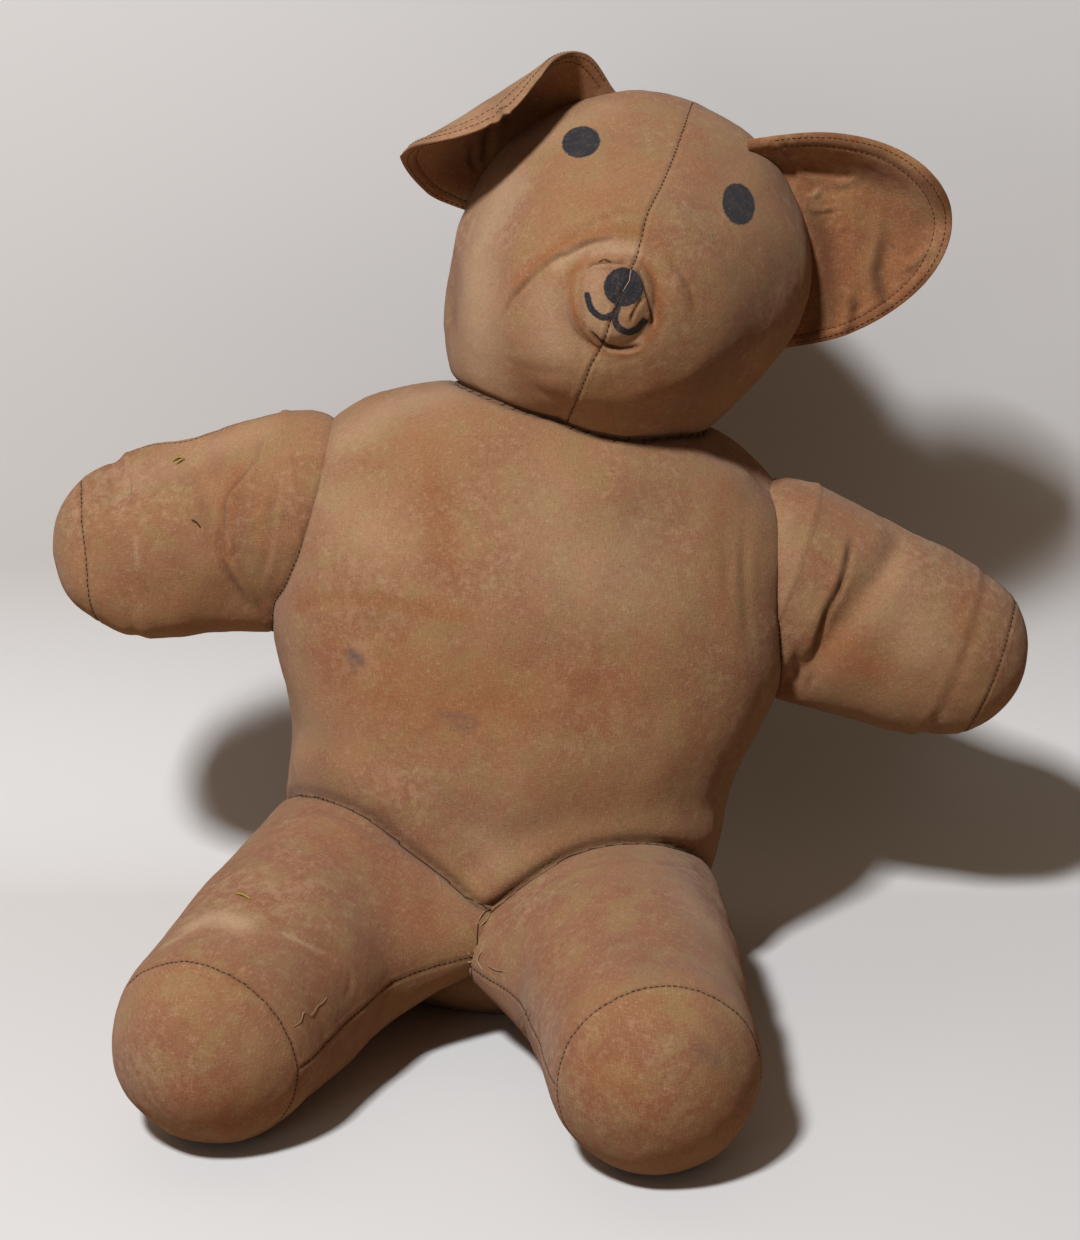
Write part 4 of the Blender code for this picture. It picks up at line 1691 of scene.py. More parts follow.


# ---------------------------------------------------------------- what the years did, and painted shade and highlight, by pixel

LUMPS = (
    # the torso: its hips, its slack place under the left shoulder and the full wedge between the legs
    Lump("torso", [(300, 760), (360, 786), (420, 824), (455, 856)], 9, 2.6),
    Lump("torso", [(512, 876), (560, 850), (640, 833), (705, 833)], 9, 2.6),
    Lump("torso", [(725, 448), (748, 462), (762, 480)], 13, -4.0),
    Lump("torso", [(480, 895), (479, 925), (478, 950)], 12, 8.0),
    Lump("torso", [(420, 840), (450, 868)], 9, 1.6),
    # the right arm, slack along its top and full by the paw
    Lump("arm_right", [(262, 438), (215, 448), (165, 462), (120, 482)], 15, -4.6),
    Lump("arm_right", [(170, 622), (140, 628)], 14, 2.0),
    Lump("arm_right", [(155, 462), (115, 480)], 13, -3.4),
    Lump("arm_right", [(82, 590), (125, 618)], 13, 3.6),
    Lump("arm_right", [(235, 600), (262, 600)], 12, -1.6),
    # the head, fallen in at its sides and full in its right cheek
    Lump("head", [(447, 285), (445, 325)], 15, -4.2),
    Lump("head", [(439, 312), (440, 345)], 14, -4.0),
    Lump("head", [(466, 205), (460, 235)], 10, 1.6),
    Lump("head", [(738, 382), (712, 404), (690, 416)], 16, -3.6),
    Lump("head", [(560, 300), (540, 330), (560, 370)], 17, 1.6),
    Lump("leg_left", [(560, 905), (520, 930)], 10, 1.2),
    Lump("leg_left", [(712, 878), (722, 908)], 9, 1.6),
)

# after its line, each crease has its depth, width, ridge, fade and the painted shade, with some grime, at its bottom,
# and some have a step and its reach
CREASES = (
    # the roll round the muzzle, lower on its outer side
    Crease("head", [(642, 241), (623, 238), (610, 239), (589, 243), (569, 253), (555, 258), (531, 278), (512, 299),
        (501, 319), (495, 334)], 0.55, 1.3, 0.35, 0.3, 0.42, 0.6, 8),
    Crease("head", [(642, 206), (618, 212), (591, 225), (570, 238), (548, 250)], 0.4, 2.2, 0.3, 0.4, 0.12, 0.25, 7),
    Crease("head", [(642, 243), (664, 255), (682, 277), (694, 305), (693, 330)], 0.35, 1.6, 0.2, 0.4, 0.16, 0.3, 7),
    # the knob of the snout: its pocket above, its sides and the slit beneath
    Crease("head", [(585, 270), (592, 264), (600, 262), (610, 261), (620, 262), (630, 262)],
        2.2, 1.1, 0.5, 0.15, 1.0, 0.7, 3),
    Crease("head", [(585, 268), (581, 280), (582, 296), (584, 312), (590, 328)], 0.7, 1.3, 0.2, 0.3, 0.25, 0.3, 4),
    Crease("head", [(634, 266), (642, 278), (646, 292), (650, 306), (652, 322), (648, 332)],
        1.3, 1.0, 0.4, 0.25, 0.8, 0.8, 3),
    Crease("head", [(645, 294), (640, 302), (635, 310), (632, 317), (631, 325)], 1.1, 0.8, 0.3, 0.25, 1.0, 0.3, 3),
    Crease("head", [(588, 328), (594, 336), (600, 342), (610, 347), (622, 349), (634, 348), (645, 345)],
        2.2, 1.0, 0.4, 0.22, 1.0, 0.6, 3),
    Crease("head", [(587, 331), (584, 325), (580, 318)], 0.5, 0.8, 0.2, 0.4, 0.4),
    # gathers about the face
    Crease("head", [(556, 205), (548, 230), (530, 255)], 0.3, 2.4, 0.2, 0.4, 0.05),
    Crease("head", [(500, 360), (540, 372), (590, 372)], 0.35, 3.0, 0.2, 0.4, 0.08),
    # the bear's right arm, viewer's left: two long overlaps and one short
    Crease("arm_right", [(259, 443), (253, 462), (239, 481), (227, 496), (224, 523), (223, 552), (230, 573),
        (242, 592), (253, 611), (260, 622)], 1.6, 1.5, 0.8, 0.2, 0.55, -2.0, 9),
    Crease("arm_right", [(283, 468), (277, 490), (272, 514), (270, 542), (264, 570), (258, 594)],
        1.4, 1.5, 0.8, 0.3, 0.40, -1.3, 8),
    Crease("arm_right", [(264, 431), (258, 454), (256, 473)], 1.1, 1.6, 0.6, 0.4, 0.30, -0.7, 6),
    Crease("arm_right", [(136, 536), (138, 550), (136, 567)], 0.25, 1.0, 0.4, 0.4, 0.0),
    Crease("torso", [(291, 611), (308, 606), (330, 598), (352, 594)], 0.7, 2.0, 0.4, 0.4, 0.2, 0.3, 8),
    Crease("torso", [(288, 598), (330, 602), (380, 601), (430, 612), (480, 620)], 0.35, 2.4, 0.25, 0.4, 0.10, 0.2, 8),
    Crease("torso", [(731, 545), (726, 575), (729, 603)], 0.5, 2.2, 0.3, 0.4, 0.15),
    Crease("torso", [(748, 500), (742, 560), (746, 620), (752, 668)], 0.5, 2.6, 0.35, 0.35, 0.10),
    # the bear's left arm, viewer's right
    Crease("arm_left", [(852, 530), (848, 554), (844, 573), (837, 592), (827, 610), (820, 630), (814, 650),
        (808, 667)], 1.7, 1.7, 0.7, 0.22, 0.75, 1.3, 9),
    Crease("arm_left", [(800, 640), (795, 664), (800, 689)], 0.8, 1.8, 0.4, 0.35, 0.35),
    Crease("arm_left", [(815, 672), (809, 683), (806, 694)], 0.9, 1.3, 0.4, 0.35, 0.45, 0.3, 5),
    Crease("arm_left", [(806, 560), (800, 600), (792, 640)], 0.3, 3.0, 0.3, 0.4, 0.05),
    # legs: pulled cloth by the hips and on the thighs
    Crease("leg_left", [(493, 912), (527, 890), (580, 868), (640, 862), (700, 872)], 0.5, 2.2, 0.5, 0.35, 0.12),
    Crease("leg_left", [(486, 935), (510, 915), (545, 896)], 0.6, 2.0, 0.5, 0.35, 0.20),
    Crease("leg_left", [(640, 862), (690, 868), (722, 884)], 0.6, 2.0, 0.5, 0.35, 0.25),
    Crease("leg_right", [(283, 933), (303, 944), (325, 954)], 0.2, 1.2, 0.5, 0.35, 0.0),
    Crease("leg_right", [(348, 967), (350, 985), (344, 1000)], 0.35, 1.6, 0.3, 0.35, 0.12),
    Crease("leg_right", [(300, 800), (352, 822), (396, 850)], 0.45, 2.6, 0.4, 0.35, 0.05),
    # the flat ear
    Crease("ear_left", [(878, 205), (879, 238), (874, 272), (882, 304), (880, 330)], 3.0, 2.9, 1.0, 0.3, 0.7, 0.7, 8),
    Crease("ear_left", [(848, 285), (851, 309), (844, 333), (838, 348)], 2.4, 2.2, 0.9, 0.3, 0.7),
    Crease("ear_left", [(878, 300), (868, 311), (848, 322)], 0.8, 1.5, 0.5, 0.35, 0.35),
    Crease("ear_left", [(899, 272), (921, 257), (936, 243)], 1.2, 1.9, 0.6, 0.35, 0.35, 0.8, 8),
    Crease("ear_left", [(838, 231), (849, 225)], 0.9, 1.3, 0.5, 0.4, 0.35),
    Crease("ear_left", [(811, 199), (818, 193), (822, 185)], 1.3, 1.1, 0.7, 0.3, 0.6),
    Crease("ear_left", [(812, 208), (824, 211), (834, 205)], 1.2, 1.2, 0.7, 0.3, 0.55),
    Crease("ear_left", [(818, 218), (832, 216)], 1.0, 1.1, 0.6, 0.35, 0.5),
    Crease("ear_left", [(786, 160), (800, 172), (822, 180), (840, 184), (856, 178), (862, 166)],
        1.0, 1.8, 0.6, 0.3, 0.4, 0.5, 7),
    Crease("ear_left", [(772, 142), (783, 152), (792, 166)], 1.0, 1.3, 0.5, 0.35, 0.5),
    # the folded ear's inside, its creases painted dark as shade
    Crease("ear_right", [(494, 120), (488, 135), (487, 150), (480, 166)], 1.8, 2.2, 0.7, 0.3, 0.8),
    Crease("ear_right", [(476, 140), (472, 158), (478, 174)], 1.3, 1.6, 0.7, 0.3, 0.6),
    Crease("ear_right", [(508, 104), (500, 112), (512, 122)], 1.3, 1.6, 0.7, 0.3, 0.6),
)

# after its line, each smear has its width and strength
SMEARS = (
    Smear("head", "rust", [(586, 262), (574, 275), (571, 292), (574, 312), (582, 330), (596, 344)], 2.6, 0.75),
    Smear("head", "rust", [(641, 262), (653, 280), (659, 302), (658, 322), (648, 339)], 2.6, 0.85),
    Smear("head", "rust", [(604, 352), (624, 356), (645, 348)], 2.6, 0.45),
    Smear("head", "rust", [(640, 232), (612, 230), (585, 236), (560, 247), (535, 265), (515, 285)], 2.6, 0.6),
    Smear("head", "rust", [(640, 206), (610, 214), (585, 228), (562, 240)], 3.0, 0.30),
    Smear("head", "rust", [(652, 240), (670, 256), (686, 280), (694, 305)], 2.6, 0.35),
    Smear("head", "rust", [(530, 380), (580, 398), (640, 392), (700, 380)], 10, 0.35),
    Smear("head", "rust", [(700, 170), (690, 130)], 9, 0.22),
    Smear("head", "rust", [(545, 190), (600, 200), (640, 180)], 8, 0.22),
    Smear("head", "rub", [(598, 277), (592, 300), (600, 330), (625, 338)], 6, 0.55),
    Smear("head", "rub", [(556, 266), (580, 252), (606, 246), (636, 250)], 3.6, 0.70),
    # the lit left side of the face and brow: partly worn paler, partly painted highlight
    Smear("head", "rub", [(505, 190), (480, 250), (478, 320), (480, 370)], 15, 0.68),
    Smear("head", "rub", [(600, 108), (545, 140)], 10, 0.30),
    Smear("head", "rub", [(555, 340), (545, 300)], 11, 0.5),
    # painted shade on the head's shaded right cheek
    Smear("head", "fold", [(775, 270), (745, 330), (705, 385)], 17, 0.34),
    # the lit left shoulder and chest: partly worn paler, partly painted highlight
    Smear("torso", "rub", [(350, 440), (400, 405), (440, 395)], 12, 0.5),
    Smear("torso", "rub", [(330, 500), (380, 540)], 17, 0.35),
    Smear("torso", "rub", [(540, 500), (560, 560), (620, 570)], 22, 0.28),
    Smear("torso", "rub", [(480, 840), (500, 860)], 9, 0.30),
    Smear("torso", "rust", [(300, 603), (360, 600), (460, 617)], 4, 0.45),
    Smear("torso", "rust", [(340, 660), (430, 700), (540, 700), (640, 690)], 20, 0.35),
    Smear("torso", "rust", [(425, 440), (436, 500), (452, 560)], 7, 0.30),
    Smear("torso", "rust", [(728, 480), (718, 560), (735, 640)], 7, 0.30),
    Smear("torso", "rust", [(560, 780), (650, 790), (700, 740)], 14, 0.25),
    # painted shade under the belly, where it overhangs the thighs
    Smear("torso", "fold", [(560, 806), (640, 794), (700, 775)], 17, 0.20),
    Smear("torso", "fold", [(320, 766), (390, 806), (450, 850)], 11, 0.16),
    Smear("torso", "stain", [(350, 652), (356, 657), (361, 662)], 1.9, 0.95),
    Smear("torso", "stain", [(344, 655), (351, 662), (355, 672)], 1.1, 0.55),
    Smear("torso", "stain", [(438, 715), (455, 717), (476, 722)], 1.3, 0.55),
    Smear("torso", "stain", [(452, 722), (468, 728)], 2.6, 0.30),
    Smear("torso", "stain", [(440, 800), (480, 820), (540, 826)], 7, 0.16),
    Smear("torso", "stain", [(640, 500), (630, 560)], 10, 0.12),
    Smear("arm_right", "rust", [(236, 470), (226, 520), (226, 560)], 4, 0.40),
    Smear("arm_right", "rust", [(262, 500), (264, 560)], 3.5, 0.40),
    Smear("arm_right", "rust", [(120, 600), (190, 600)], 12, 0.30),
    Smear("arm_right", "rub", [(130, 480), (200, 450), (260, 430)], 9, 0.40),
    Smear("arm_right", "rub", [(136, 538), (137, 565)], 1.0, 0.6),
    Smear("arm_left", "rust", [(835, 650), (870, 665)], 11, 0.60),
    Smear("arm_left", "rust", [(975, 600), (970, 635)], 8, 0.45),
    Smear("arm_left", "rust", [(775, 680), (795, 700)], 7, 0.5),
    Smear("arm_left", "rust", [(800, 500), (850, 520)], 7, 0.30),
    Smear("arm_left", "rub", [(890, 570), (920, 640)], 16, 0.30),
    Smear("arm_left", "rub", [(784, 520), (786, 590)], 8, 0.30),
    Smear("leg_right", "rub", [(192, 926), (214, 918), (240, 924)], 6.5, 0.85),
    Smear("leg_right", "rub", [(166, 944), (178, 938)], 3.0, 0.6),
    Smear("leg_right", "rub", [(284, 933), (304, 944), (324, 953)], 1.1, 0.7),
    Smear("leg_right", "rust", [(330, 840), (400, 890), (430, 930)], 13, 0.30),
    Smear("leg_right", "rust", [(330, 960), (310, 1020)], 9, 0.35),
    Smear("leg_right", "rust", [(190, 1100), (240, 1110)], 14, 0.30),
    Smear("leg_left", "rust", [(540, 960), (580, 1000)], 11, 0.30),
    Smear("leg_left", "rust", [(600, 1080), (660, 1110), (710, 1100)], 14, 0.35),
    Smear("leg_left", "stain", [(620, 940), (650, 975)], 11, 0.13),
    Smear("leg_left", "stain", [(700, 1050), (716, 1060)], 4, 0.35),
    Smear("leg_left", "rub", [(690, 900), (735, 960)], 9, 0.30),
    Smear("ear_right", "rub", [(436, 203), (450, 206), (466, 200)], 4.5, 0.95),
    # painted shade inside the folded ear
    Smear("ear_right", "fold", [(520, 105), (490, 135), (462, 165)], 13, 0.55),
    # painted shadow of the head along the ear's root, and painted shade under its bent top rim
    Smear("ear_left", "fold", [(815, 215), (826, 260), (824, 310), (806, 345)], 6, 0.60),
    Smear("ear_left", "fold", [(800, 140), (840, 138), (880, 152)], 5, 0.35),
    Smear("ear_left", "stain", [(892, 246), (893, 247)], 0.9, 0.9),
    Smear("ear_left", "rust", [(850, 240), (860, 320)], 14, 0.35),
    Smear("ear_left", "rub", [(915, 180), (938, 240), (925, 300)], 7, 0.25),
)

# the eyes, the nose, the two strokes under it and the mouth
PAINT = (
    Painted((581, 142), (19.5, 15.7), -12),
    Painted((738.5, 204), (16.0, 21.5), -14),
    Painted((623.5, 287), (20.0, 19.6), 0),
    Painted(line=[(587, 295), (590, 306), (596, 314), (604, 317.5), (613, 315)]),
    Painted(line=[(620, 301), (617, 310), (615, 319)], half_width=3.0),
    Painted(line=[(614, 318), (618, 327), (628, 332), (637, 329), (644, 321)]),
)

FACE_SEAM = [
    (692.5, 103), (690, 109), (687, 118), (680.6, 137), (672, 161), (662, 184), (648.7, 211), (641, 240), (636.5, 257),
    (631, 270), (629, 281), (622.8, 291), (617, 301), (610.5, 320), (607, 332), (601, 347), (590, 367), (583, 385),
    (566, 424),
]
# after its line, each strand has its radius and its lift
PALE_STRANDS = (
    Strand([(631, 270), (630, 276), (629, 281), (626, 286), (623, 291)], 0.22, 0.15),
    Strand([(293, 1027), (300, 1022), (303, 1012), (310, 1015), (317, 1006), (322, 1003), (327, 997)], 0.15, 0.5),
    Strand([(436, 876), (438, 882), (441, 889)], 0.16, 0.9),
    Strand([(528, 1008), (523, 1018), (519, 1028)], 0.16, 1.2),
    Strand([(531, 1012), (527, 1022), (524, 1031)], 0.16, 0.9),
    Strand([(468, 953), (477, 960), (486, 966)], 0.30, 0.6),
    Strand([(468, 962), (477, 959), (487, 956)], 0.30, 0.9),
    Strand([(474, 950), (476, 960), (474, 969)], 0.30, 0.8),
    Strand([(482, 951), (479, 960), (483, 970)], 0.26, 0.7),
    Strand([(484, 962), (494, 968), (506, 972)], 0.16, 0.9),
    Strand([(478, 921), (482, 914), (488, 910)], 0.22, 0.6),
    Strand([(480, 926), (486, 920), (490, 913)], 0.22, 0.6),
)
DARK_STRANDS = (
    Strand([(620, 296), (617, 304), (613, 313), (610, 321)], 0.25, 0.1),
    Strand([(192, 520), (196, 522), (200, 527)], 0.35, 0.5),
    Strand([(611, 262), (604, 259), (599, 262)], 0.14, 0.5),
    Strand([(478, 924), (477, 935), (477, 946), (477, 957)], 0.25, 0.1),
    Strand([(472, 968), (472, 985), (472, 1003)], 0.22, 0.1),
)
STRAWS = (
    Strand([(173, 461), (179, 458), (184, 460)], 0.42, 0.5),
    Strand([(176, 464), (181, 461), (184, 459)], 0.36, 0.6),
    Strand([(237, 894), (243, 896), (250, 899)], 0.50, 0.6),
)
MACHINE = Stitching()
TOPSTITCH = Stitching(pitch=2.6 * MM, length=1.9 * MM, thickness=0.42 * MM)
WHIP = Stitching(7.0 * MM, 4.4 * MM, 0.42 * MM, slant=math.radians(36), raised=0.25 * MM, uneven=0.4)
HIP_THREAD = 0.34 * MM
EAR_ROWS = (2.0 * MM, 6.0 * MM)
# the height, the size and the shift of the cloth's small unevenness
STUFFED_UNEVEN = ((1.0 * MM, 42 * MM, 0), (0.45 * MM, 17 * MM, 3), (0.12 * MM, 5.5 * MM, 5))
FLAT_UNEVEN = ((0.6 * MM, 42 * MM, 0), *STUFFED_UNEVEN[1:])
# millimetres to a pixel of the photograph at the face
PIXEL_IN_MM = 0.44


# ---------------------------------------------------------------- the whole bear


@dataclass(frozen=True)
class Joint:
    """How a form is sewn to the torso.

    Attributes:
        depth: how far the cloth is drawn in along the seam.
        width: how fast that runs out.
        filled: how far the cloth is filled out above the limb's middle, as over the shoulders.
        filled_width: how far that reaches.
        gathers: how high the puckers stand.
        dirt: how dark the seam is painted, as shade with some grime.
        dirt_width: how far that painted darkening reaches.
    """

    depth: float
    width: float
    filled: float
    filled_width: float
    gathers: float
    dirt: float
    dirt_width: float


@dataclass(frozen=True)
class Covering:
    """What a stuffed piece stands for.

    Attributes:
        slot: which of the cloths it is made of.
        fill: how firmly it is stuffed, from 0 to 1; not used.
        nodes: the CAD nodes that it takes the place of.
    """

    slot: str
    fill: float
    nodes: Sequence[str]


JOINTS = {
    "arm": Joint(0.9 * MM, 1.3 * MM, 3.6 * MM, 20 * MM, 0.35 * MM, dirt=0.42, dirt_width=1.3 * MM),
    "leg": Joint(2.0 * MM, 2.1 * MM, 0.0, 10 * MM, 0.10 * MM, dirt=0.62, dirt_width=1.6 * MM),
    "head": Joint(1.4 * MM, 2.2 * MM, 0.0, 10 * MM, 0.55 * MM, dirt=0.8, dirt_width=1.6 * MM),
}
LIMB_PANELS = {"arm": ("plain_cloth", ("front", "back", "paw")), "leg": ("faded_cloth", ("top", "under", "sole"))}
HEAD_NODES = (
    "head_face_left", "head_face_right", "head_back", "stuffing_head", "eye_left", "eye_right", "nose", "mouth",
)
COVERINGS = {
    "torso": Covering("plain_cloth", 0.95, ("torso_belly", "torso_back_left", "torso_back_right", "stuffing_body")),
    "head": Covering("plain_cloth", 0.95, HEAD_NODES),
    **{
        f"{limb}_{side.word}": Covering(slot, 0.9, [f"{limb}_{side.word}_{part}" for part in parts])
        for side in Side
        for limb, (slot, parts) in LIMB_PANELS.items()
    },
}


class Bear:
    """All the pieces of the bear, from plain forms to the finished cloth."""

    def __init__(self) -> None:
        """Lays out every piece before it is creased."""
        self.grain = Grain(7)
        self.torso = Torso()
        self.arms = [
            Arm(Side.RIGHT, self.torso, length=0.115, droop=math.radians(16)),
            Arm(Side.LEFT, self.torso, length=0.123, droop=math.radians(12.5)),
        ]
        self.legs = [
            Leg(Side.RIGHT, self.torso, length=0.166, dome=0.034, flatness=1.0, flare=0.66, flare_end=0.093,
                hip_out=0.0490, splay=math.radians(22.5)),
            Leg(Side.LEFT, self.torso, length=0.184, dome=0.029, flatness=0.83, flare=0.42, flare_end=0.113,
                hip_out=0.0560, splay=math.radians(6.5)),
        ]
        self.head = Head(self.torso)
        self.ears = [
            Ear(Side.RIGHT, self.head, swing=math.radians(17.5), swing_twist=math.radians(3.5),
                curl=math.radians(106), twist=0.18, lean=-0.20),
            Ear(Side.LEFT, self.head, swing=math.radians(-16), swing_twist=0.0, curl=math.radians(34), twist=0.0,
                lean=0.07, top_fold=0.019, narrow=0.02, tuck=0.011),
        ]
        self.body = self.torso.skin()
        self.face = self.head.skin()
        self.limbs = {skin.name: skin for skin in [part.skin() for part in self.arms + self.legs]}
        self.flaps = {flap.name: flap for flap in [ear.flap() for ear in self.ears]}
        self.seams: dict[str, Array] = {}
        self.outside: dict[str, Array] = {}
        self.rows: list[tuple[Skin, Array]] = []

    def pieces(self) -> list[Fabric]:
        """Every cloth piece."""
        return [self.body, self.face, *self.limbs.values(), *self.flaps.values()]

    def seen(self, pixel: tuple[float, float]) -> tuple[Fabric, Vector] | None:
        """What a pixel of the photograph shows.

        Args:
            pixel: across and down.

        Returns:
            The nearest piece there and the place on it, or None past the bear.
        """
        start, way = Vector(EYE.place), EYE.line_of_sight(pixel)
        hits = []
        for piece in self.pieces():
            spot, _, _, distance = piece.tree.ray_cast(start, way)
            if spot is not None:
                hits.append((distance, piece, spot))
        if not hits:
            return None
        _, piece, spot = min(hits, key=lambda hit: hit[0])
        return piece, spot

    def join(self) -> None:
        """Draws the cloth in where one form is sewn to another, fills it out round the shoulders, and paints shade
        along the seams.
        """
        for limb in [*self.limbs.values(), self.face]:
            joint = JOINTS[limb.name.split("_")[0]]
            on_limb = limb.clearance(self.body, 45 * MM)
            on_body = self.body.clearance(limb, 45 * MM)
            self.outside[limb.name] = on_limb
            self.draw_in(limb, limb, on_limb, joint)
            self.draw_in(self.body, limb, on_body, joint)
            if limb is self.face:
                self.seams[limb.name] = self.body.meeting(on_body, entering=True)
            else:
                self.seams[limb.name] = limb.meeting(on_limb, entering=False)

    def draw_in(self, piece: Fabric, limb: Fabric, outside: Array, joint: Joint) -> None:
        """Shapes one piece along the line where it meets another, and paints shade there.

        Args:
            piece: the piece that is shaped.
            limb: the limb of the two, round whose axis the puckers stand.
            outside: how far each of the piece's points lies outside the other piece.
            joint: what the join is like.
        """
        place = np.array(limb.place)
        local = (piece.points - place[:3, 3]) @ place[:3, :3]
        angle = np.arctan2(local[:, 1], local[:, 0])
        round_it = np.stack([np.cos(angle), np.sin(angle), 0 * angle], axis=1) * 50 * MM
        gathers = self.grain.at(round_it, 7 * MM) + 0.5 * self.grain.at(round_it + 1, 3.5 * MM)
        away = np.abs(outside)
        above = smooth((np.cos(angle) + 0.65) / 1.4)
        filled = joint.filled * above * np.exp(-((away / joint.filled_width) ** 1.5))
        piece.lift += filled - joint.depth * np.exp(-((away / joint.width) ** 1.4))
        piece.lift += joint.gathers * gathers * np.exp(-away / (9 * MM)) * (1 - np.exp(-away / (2.5 * MM)))
        # painted shade, with some grime, darkens the cloth along the seam
        piece.darken("fold", joint.dirt * np.exp(-((away / joint.dirt_width) ** 1.5)))

    def panel_seams(self) -> None:
        """Presses in the seams between the panels of each form, and paints shade into them."""
        body, face = self.body, self.face
        for column in (0, body.turns // 4, 3 * body.turns // 4):
            self.rows.append((body, body.long_line(column, 8, body.ring_count - 10)))
        side_ring = int(np.argmin(np.abs(self.head.outline()[:, 1] + self.head.side_seam)))
        self.rows.append((face, face.round_line(side_ring)))
        top = face.long_line(face.turns // 2, side_ring, face.ring_count)
        self.rows.append((face, top[: 2 + int(np.argmin(EYE.pixels_of(top)[:, 1]))]))
        self.rows.append((face, self.traced(face, FACE_SEAM)))
        for limb in self.limbs.values():
            self.rows.append((limb, limb.round_line(limb.cap_ring)))
            for column in (limb.turns // 4, 3 * limb.turns // 4):
                numbers = [limb.index(ring, column) for ring in range(2, limb.cap_ring)]
                free = self.outside[limb.name][numbers] > 0.5 * MM
                self.rows.append((limb, limb.points[numbers][free]))
        # the grooves are painted darker, as shade with some grime
        groove = Crease("", (), depth=0.55, width=0.9, ridge=0.22, fade=0.0, dirt=0.42, pucker=0.22)
        for skin, line in self.rows:
            skin.press(groove, line, self.grain)

    def sew(self) -> None:
        """Sews the seams, on the cloth as it has settled."""
        dark = Plain("brown_thread", (0.040, 0.018, 0.010), (0.075, 0.036, 0.018)).make()
        pale = Plain("pale_thread", (0.42, 0.30, 0.19), (0.34, 0.23, 0.13)).make()
        straw = Plain("straw", (0.42, 0.33, 0.07), (0.30, 0.22, 0.05), 0.001).make()
        panels, joints = Threads("panel_stitches", self.grain), Threads("joint_stitches", self.grain)
        for skin, line in self.rows:
            panels.sew(*skin.nearest(line), MACHINE)
        for name, line in self.seams.items():
            line = spline(np.vstack([line[::5], line[:1]]), 400)
            if name == "head":
                joints.sew(*self.body.nearest(line), WHIP)
            elif name.startswith("arm"):
                joints.sew(*self.limbs[name].nearest(line), MACHINE)
            else:
                spots, facing = self.limbs[name].nearest(line)
                joints.tube(spots, HIP_THREAD, facing)
        panels.make(dark)
        joints.make(dark)
        rims = Threads("ear_stitches", self.grain)
        for ear, flap in zip(self.ears, self.flaps.values()):
            for inset, back in itertools.product(EAR_ROWS, (False, True)):
                line = ear.row_of_stitches(flap, inset, back)
                rims.sew(*flap.nearest(line), TOPSTITCH)
        rims.make(dark)
        for name, strands, finish in (
            ("pale_strands", PALE_STRANDS, pale), ("dark_strands", DARK_STRANDS, dark), ("straws", STRAWS, straw)
        ):
            loose = Threads(name, self.grain)
            for strand in strands:
                piece = self.seen(strand.pixels[0])[0]
                line, facing = piece.nearest(self.traced(piece, strand.pixels))
                swing = np.sin(np.linspace(0, math.pi, len(line)))[:, None]
                loose.tube(line + facing * (strand.radius * 0.6 + strand.lift * swing) * MM, strand.radius * MM, facing)
            loose.make(finish)

    def crumple(self) -> None:
        """Gives the stuffing its lumps and the old cloth its small unevenness."""
        for piece in self.pieces():
            for height, size, shift in FLAT_UNEVEN if isinstance(piece, Flap) else STUFFED_UNEVEN:
                piece.lift += height * self.grain.at(piece.points + shift, size)
        for piece, lump, line in self.laid_out(LUMPS):
            near, share = piece.beside(line, lump.width * MM)
            piece.lift[near] += lump.height * MM * share
        for piece in self.pieces():
            piece.settle()

    def traced(self, piece: Fabric, pixels: Pixels) -> Array:
        """Pixels of the photograph carried onto one piece.

        Args:
            piece: the piece that they are on.
            pixels: a line, or two points for a spot.

        Returns:
            Closely spaced points in space.
        """
        length = sum(math.dist(one, other) for one, other in zip(pixels, pixels[1:]))
        start = Vector(EYE.place)
        found = []
        for pixel in spline(pixels, max(4, int(length / 1.6))):
            spot = piece.tree.ray_cast(start, EYE.line_of_sight(pixel))[0]
            if spot is not None:
                found.append(spot)
        return np.array(found)

    def laid_out(self, wanted: Sequence[Mark]) -> Iterable[tuple[Fabric, Mark, Array]]:
        """Carries creases, smears or lumps onto their pieces.

        Args:
            wanted: what is to be laid out.

        Yields:
            The piece, what lies on it, and its line in space.
        """
        named = {piece.name: piece for piece in self.pieces()}
        for item in wanted:
            line = self.traced(named[item.on], item.pixels)
            if len(line) > 2:
                yield named[item.on], item, line
            else:
                LOG.warning("%s isn't seen at %s", item.on, item.pixels[0])

    def age(self) -> None:
        """Creases, stains and paints the cloth, and paints shade and highlight onto it."""
        for piece, crease, line in self.laid_out(CREASES):
            piece.press(crease, line, self.grain)
        for piece, smear, line in self.laid_out(SMEARS):
            near, share = piece.beside(line, smear.width * MM)
            piece.darken(smear.mark, smear.strength * share, near)
        for ear, flap in zip(self.ears, self.flaps.values()):
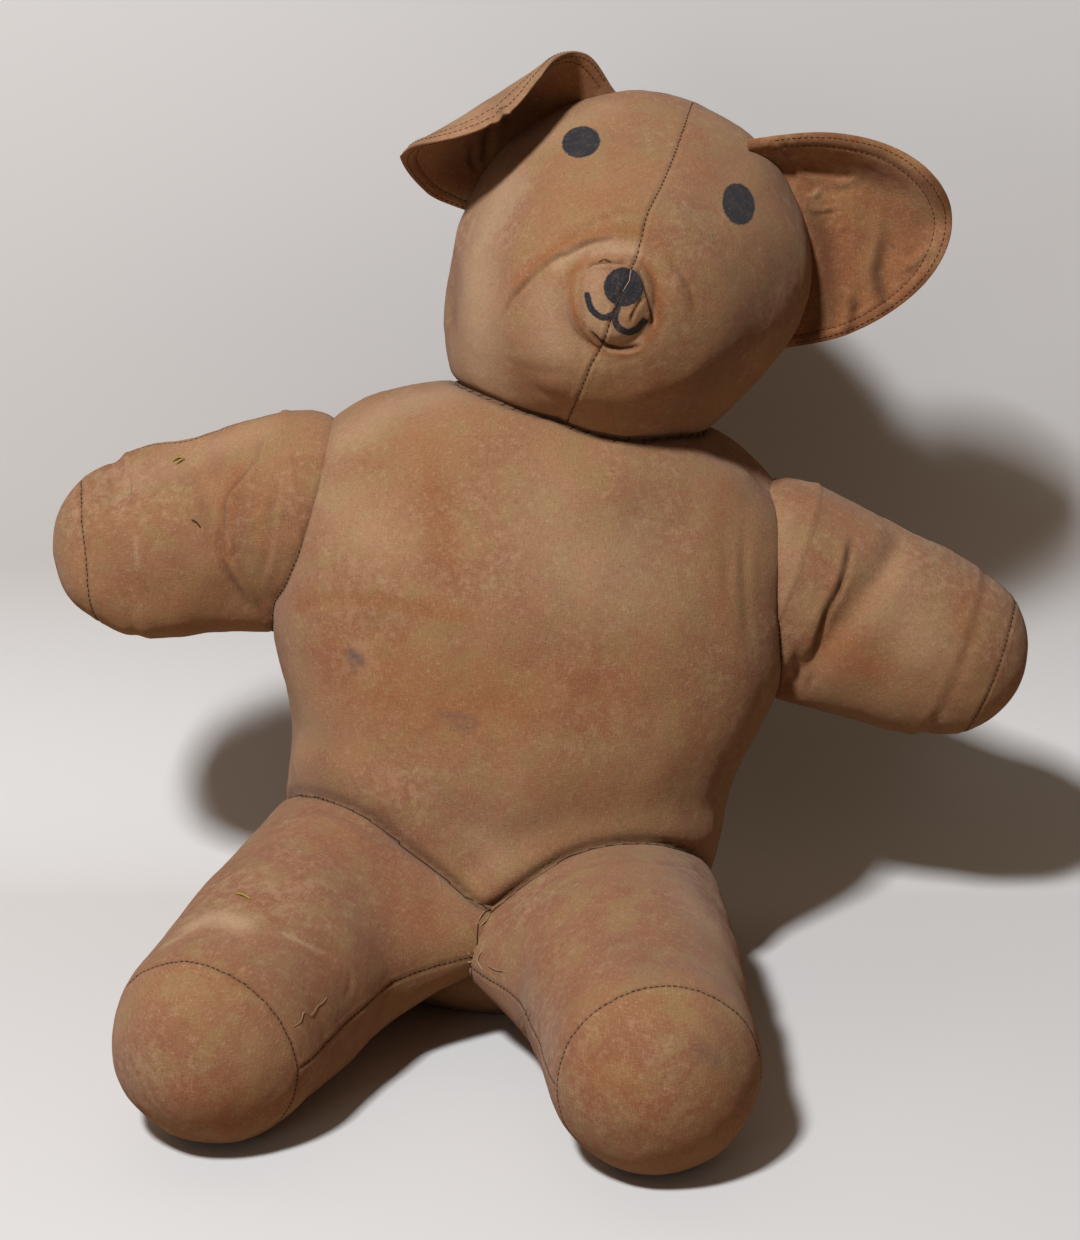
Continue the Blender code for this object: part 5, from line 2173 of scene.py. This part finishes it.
            # the number of the layer that faces backwards
            back = flap.normals[: flap.columns * 10, 1].mean() < 0
            flap.darken("rub", ear.faded, slice(flap.layer * back, flap.layer * (1 + back)))
            flap.darken("rust", ear.rusty, slice(flap.layer * (not back), flap.layer * (2 - back)))
            flap.darken("fold", ear.grimy * smooth((self.grain.at(flap.points, 20 * MM) + 0.3) / 0.8))
        way = np.array(EYE.place) - self.face.points
        front = np.flatnonzero((self.face.normals * way).sum(1) > 0)
        pixels = EYE.pixels_of(self.face.points[front])
        for shape in PAINT:
            # how far inside the paint each point lies, in millimetres
            self.face.darken("ink", np.clip(shape.inside(pixels) * PIXEL_IN_MM, -1, 1.2), front)

    def build(self) -> None:
        """Shapes every piece, makes its mesh and gives it its place in the frame."""
        self.crumple()
        self.join()
        self.panel_seams()
        self.age()
        for piece in self.pieces():
            piece.settle()
        self.sew()
        cloths = {
            "plain_cloth": WornCotton("plain_cotton").make(),
            "faded_cloth": WornCotton("faded_cotton", rosiness=0.85).make(),
            "rusty_cloth": WornCotton("rusty_cotton", plain=(0.300, 0.140, 0.060), rosiness=0.6).make(),
        }
        for piece in [self.body, self.face, *self.limbs.values()]:
            covering = COVERINGS[piece.name]
            made = piece.mesh()
            made.data.materials.append(cloths[covering.slot])
            self.place(made, covering.slot, covering.nodes)
        for ear, piece in zip(self.ears, self.flaps.values()):
            made = piece.mesh()
            made.data.materials.append(cloths["rusty_cloth"])
            area = math.pi / 4 * ear.chord * ear.reach
            self.place(made, "rusty_cloth", [f"{piece.name}_front", f"{piece.name}_back"])

    def place(self, made: bpy.types.Object, slot: str, nodes: Sequence[str]) -> None:
        """Ties a finished piece to the frame.

        Args:
            made: the piece.
            slot: not used.
            nodes: the CAD nodes that it stands for.
        """
        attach(made, "root")
        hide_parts(*nodes)
        LOG.info("%s: %d points", made.name, len(made.data.vertices))


def main() -> None:
    """Builds the bear piece by piece, lights it and looks at it from the photograph's side."""
    logging.basicConfig(level=logging.INFO, format="%(name)s: %(message)s")
    bear = Bear()
    bear.build()
    Studio().make()
    EYE.make()


if __name__ == "__main__":
    main()
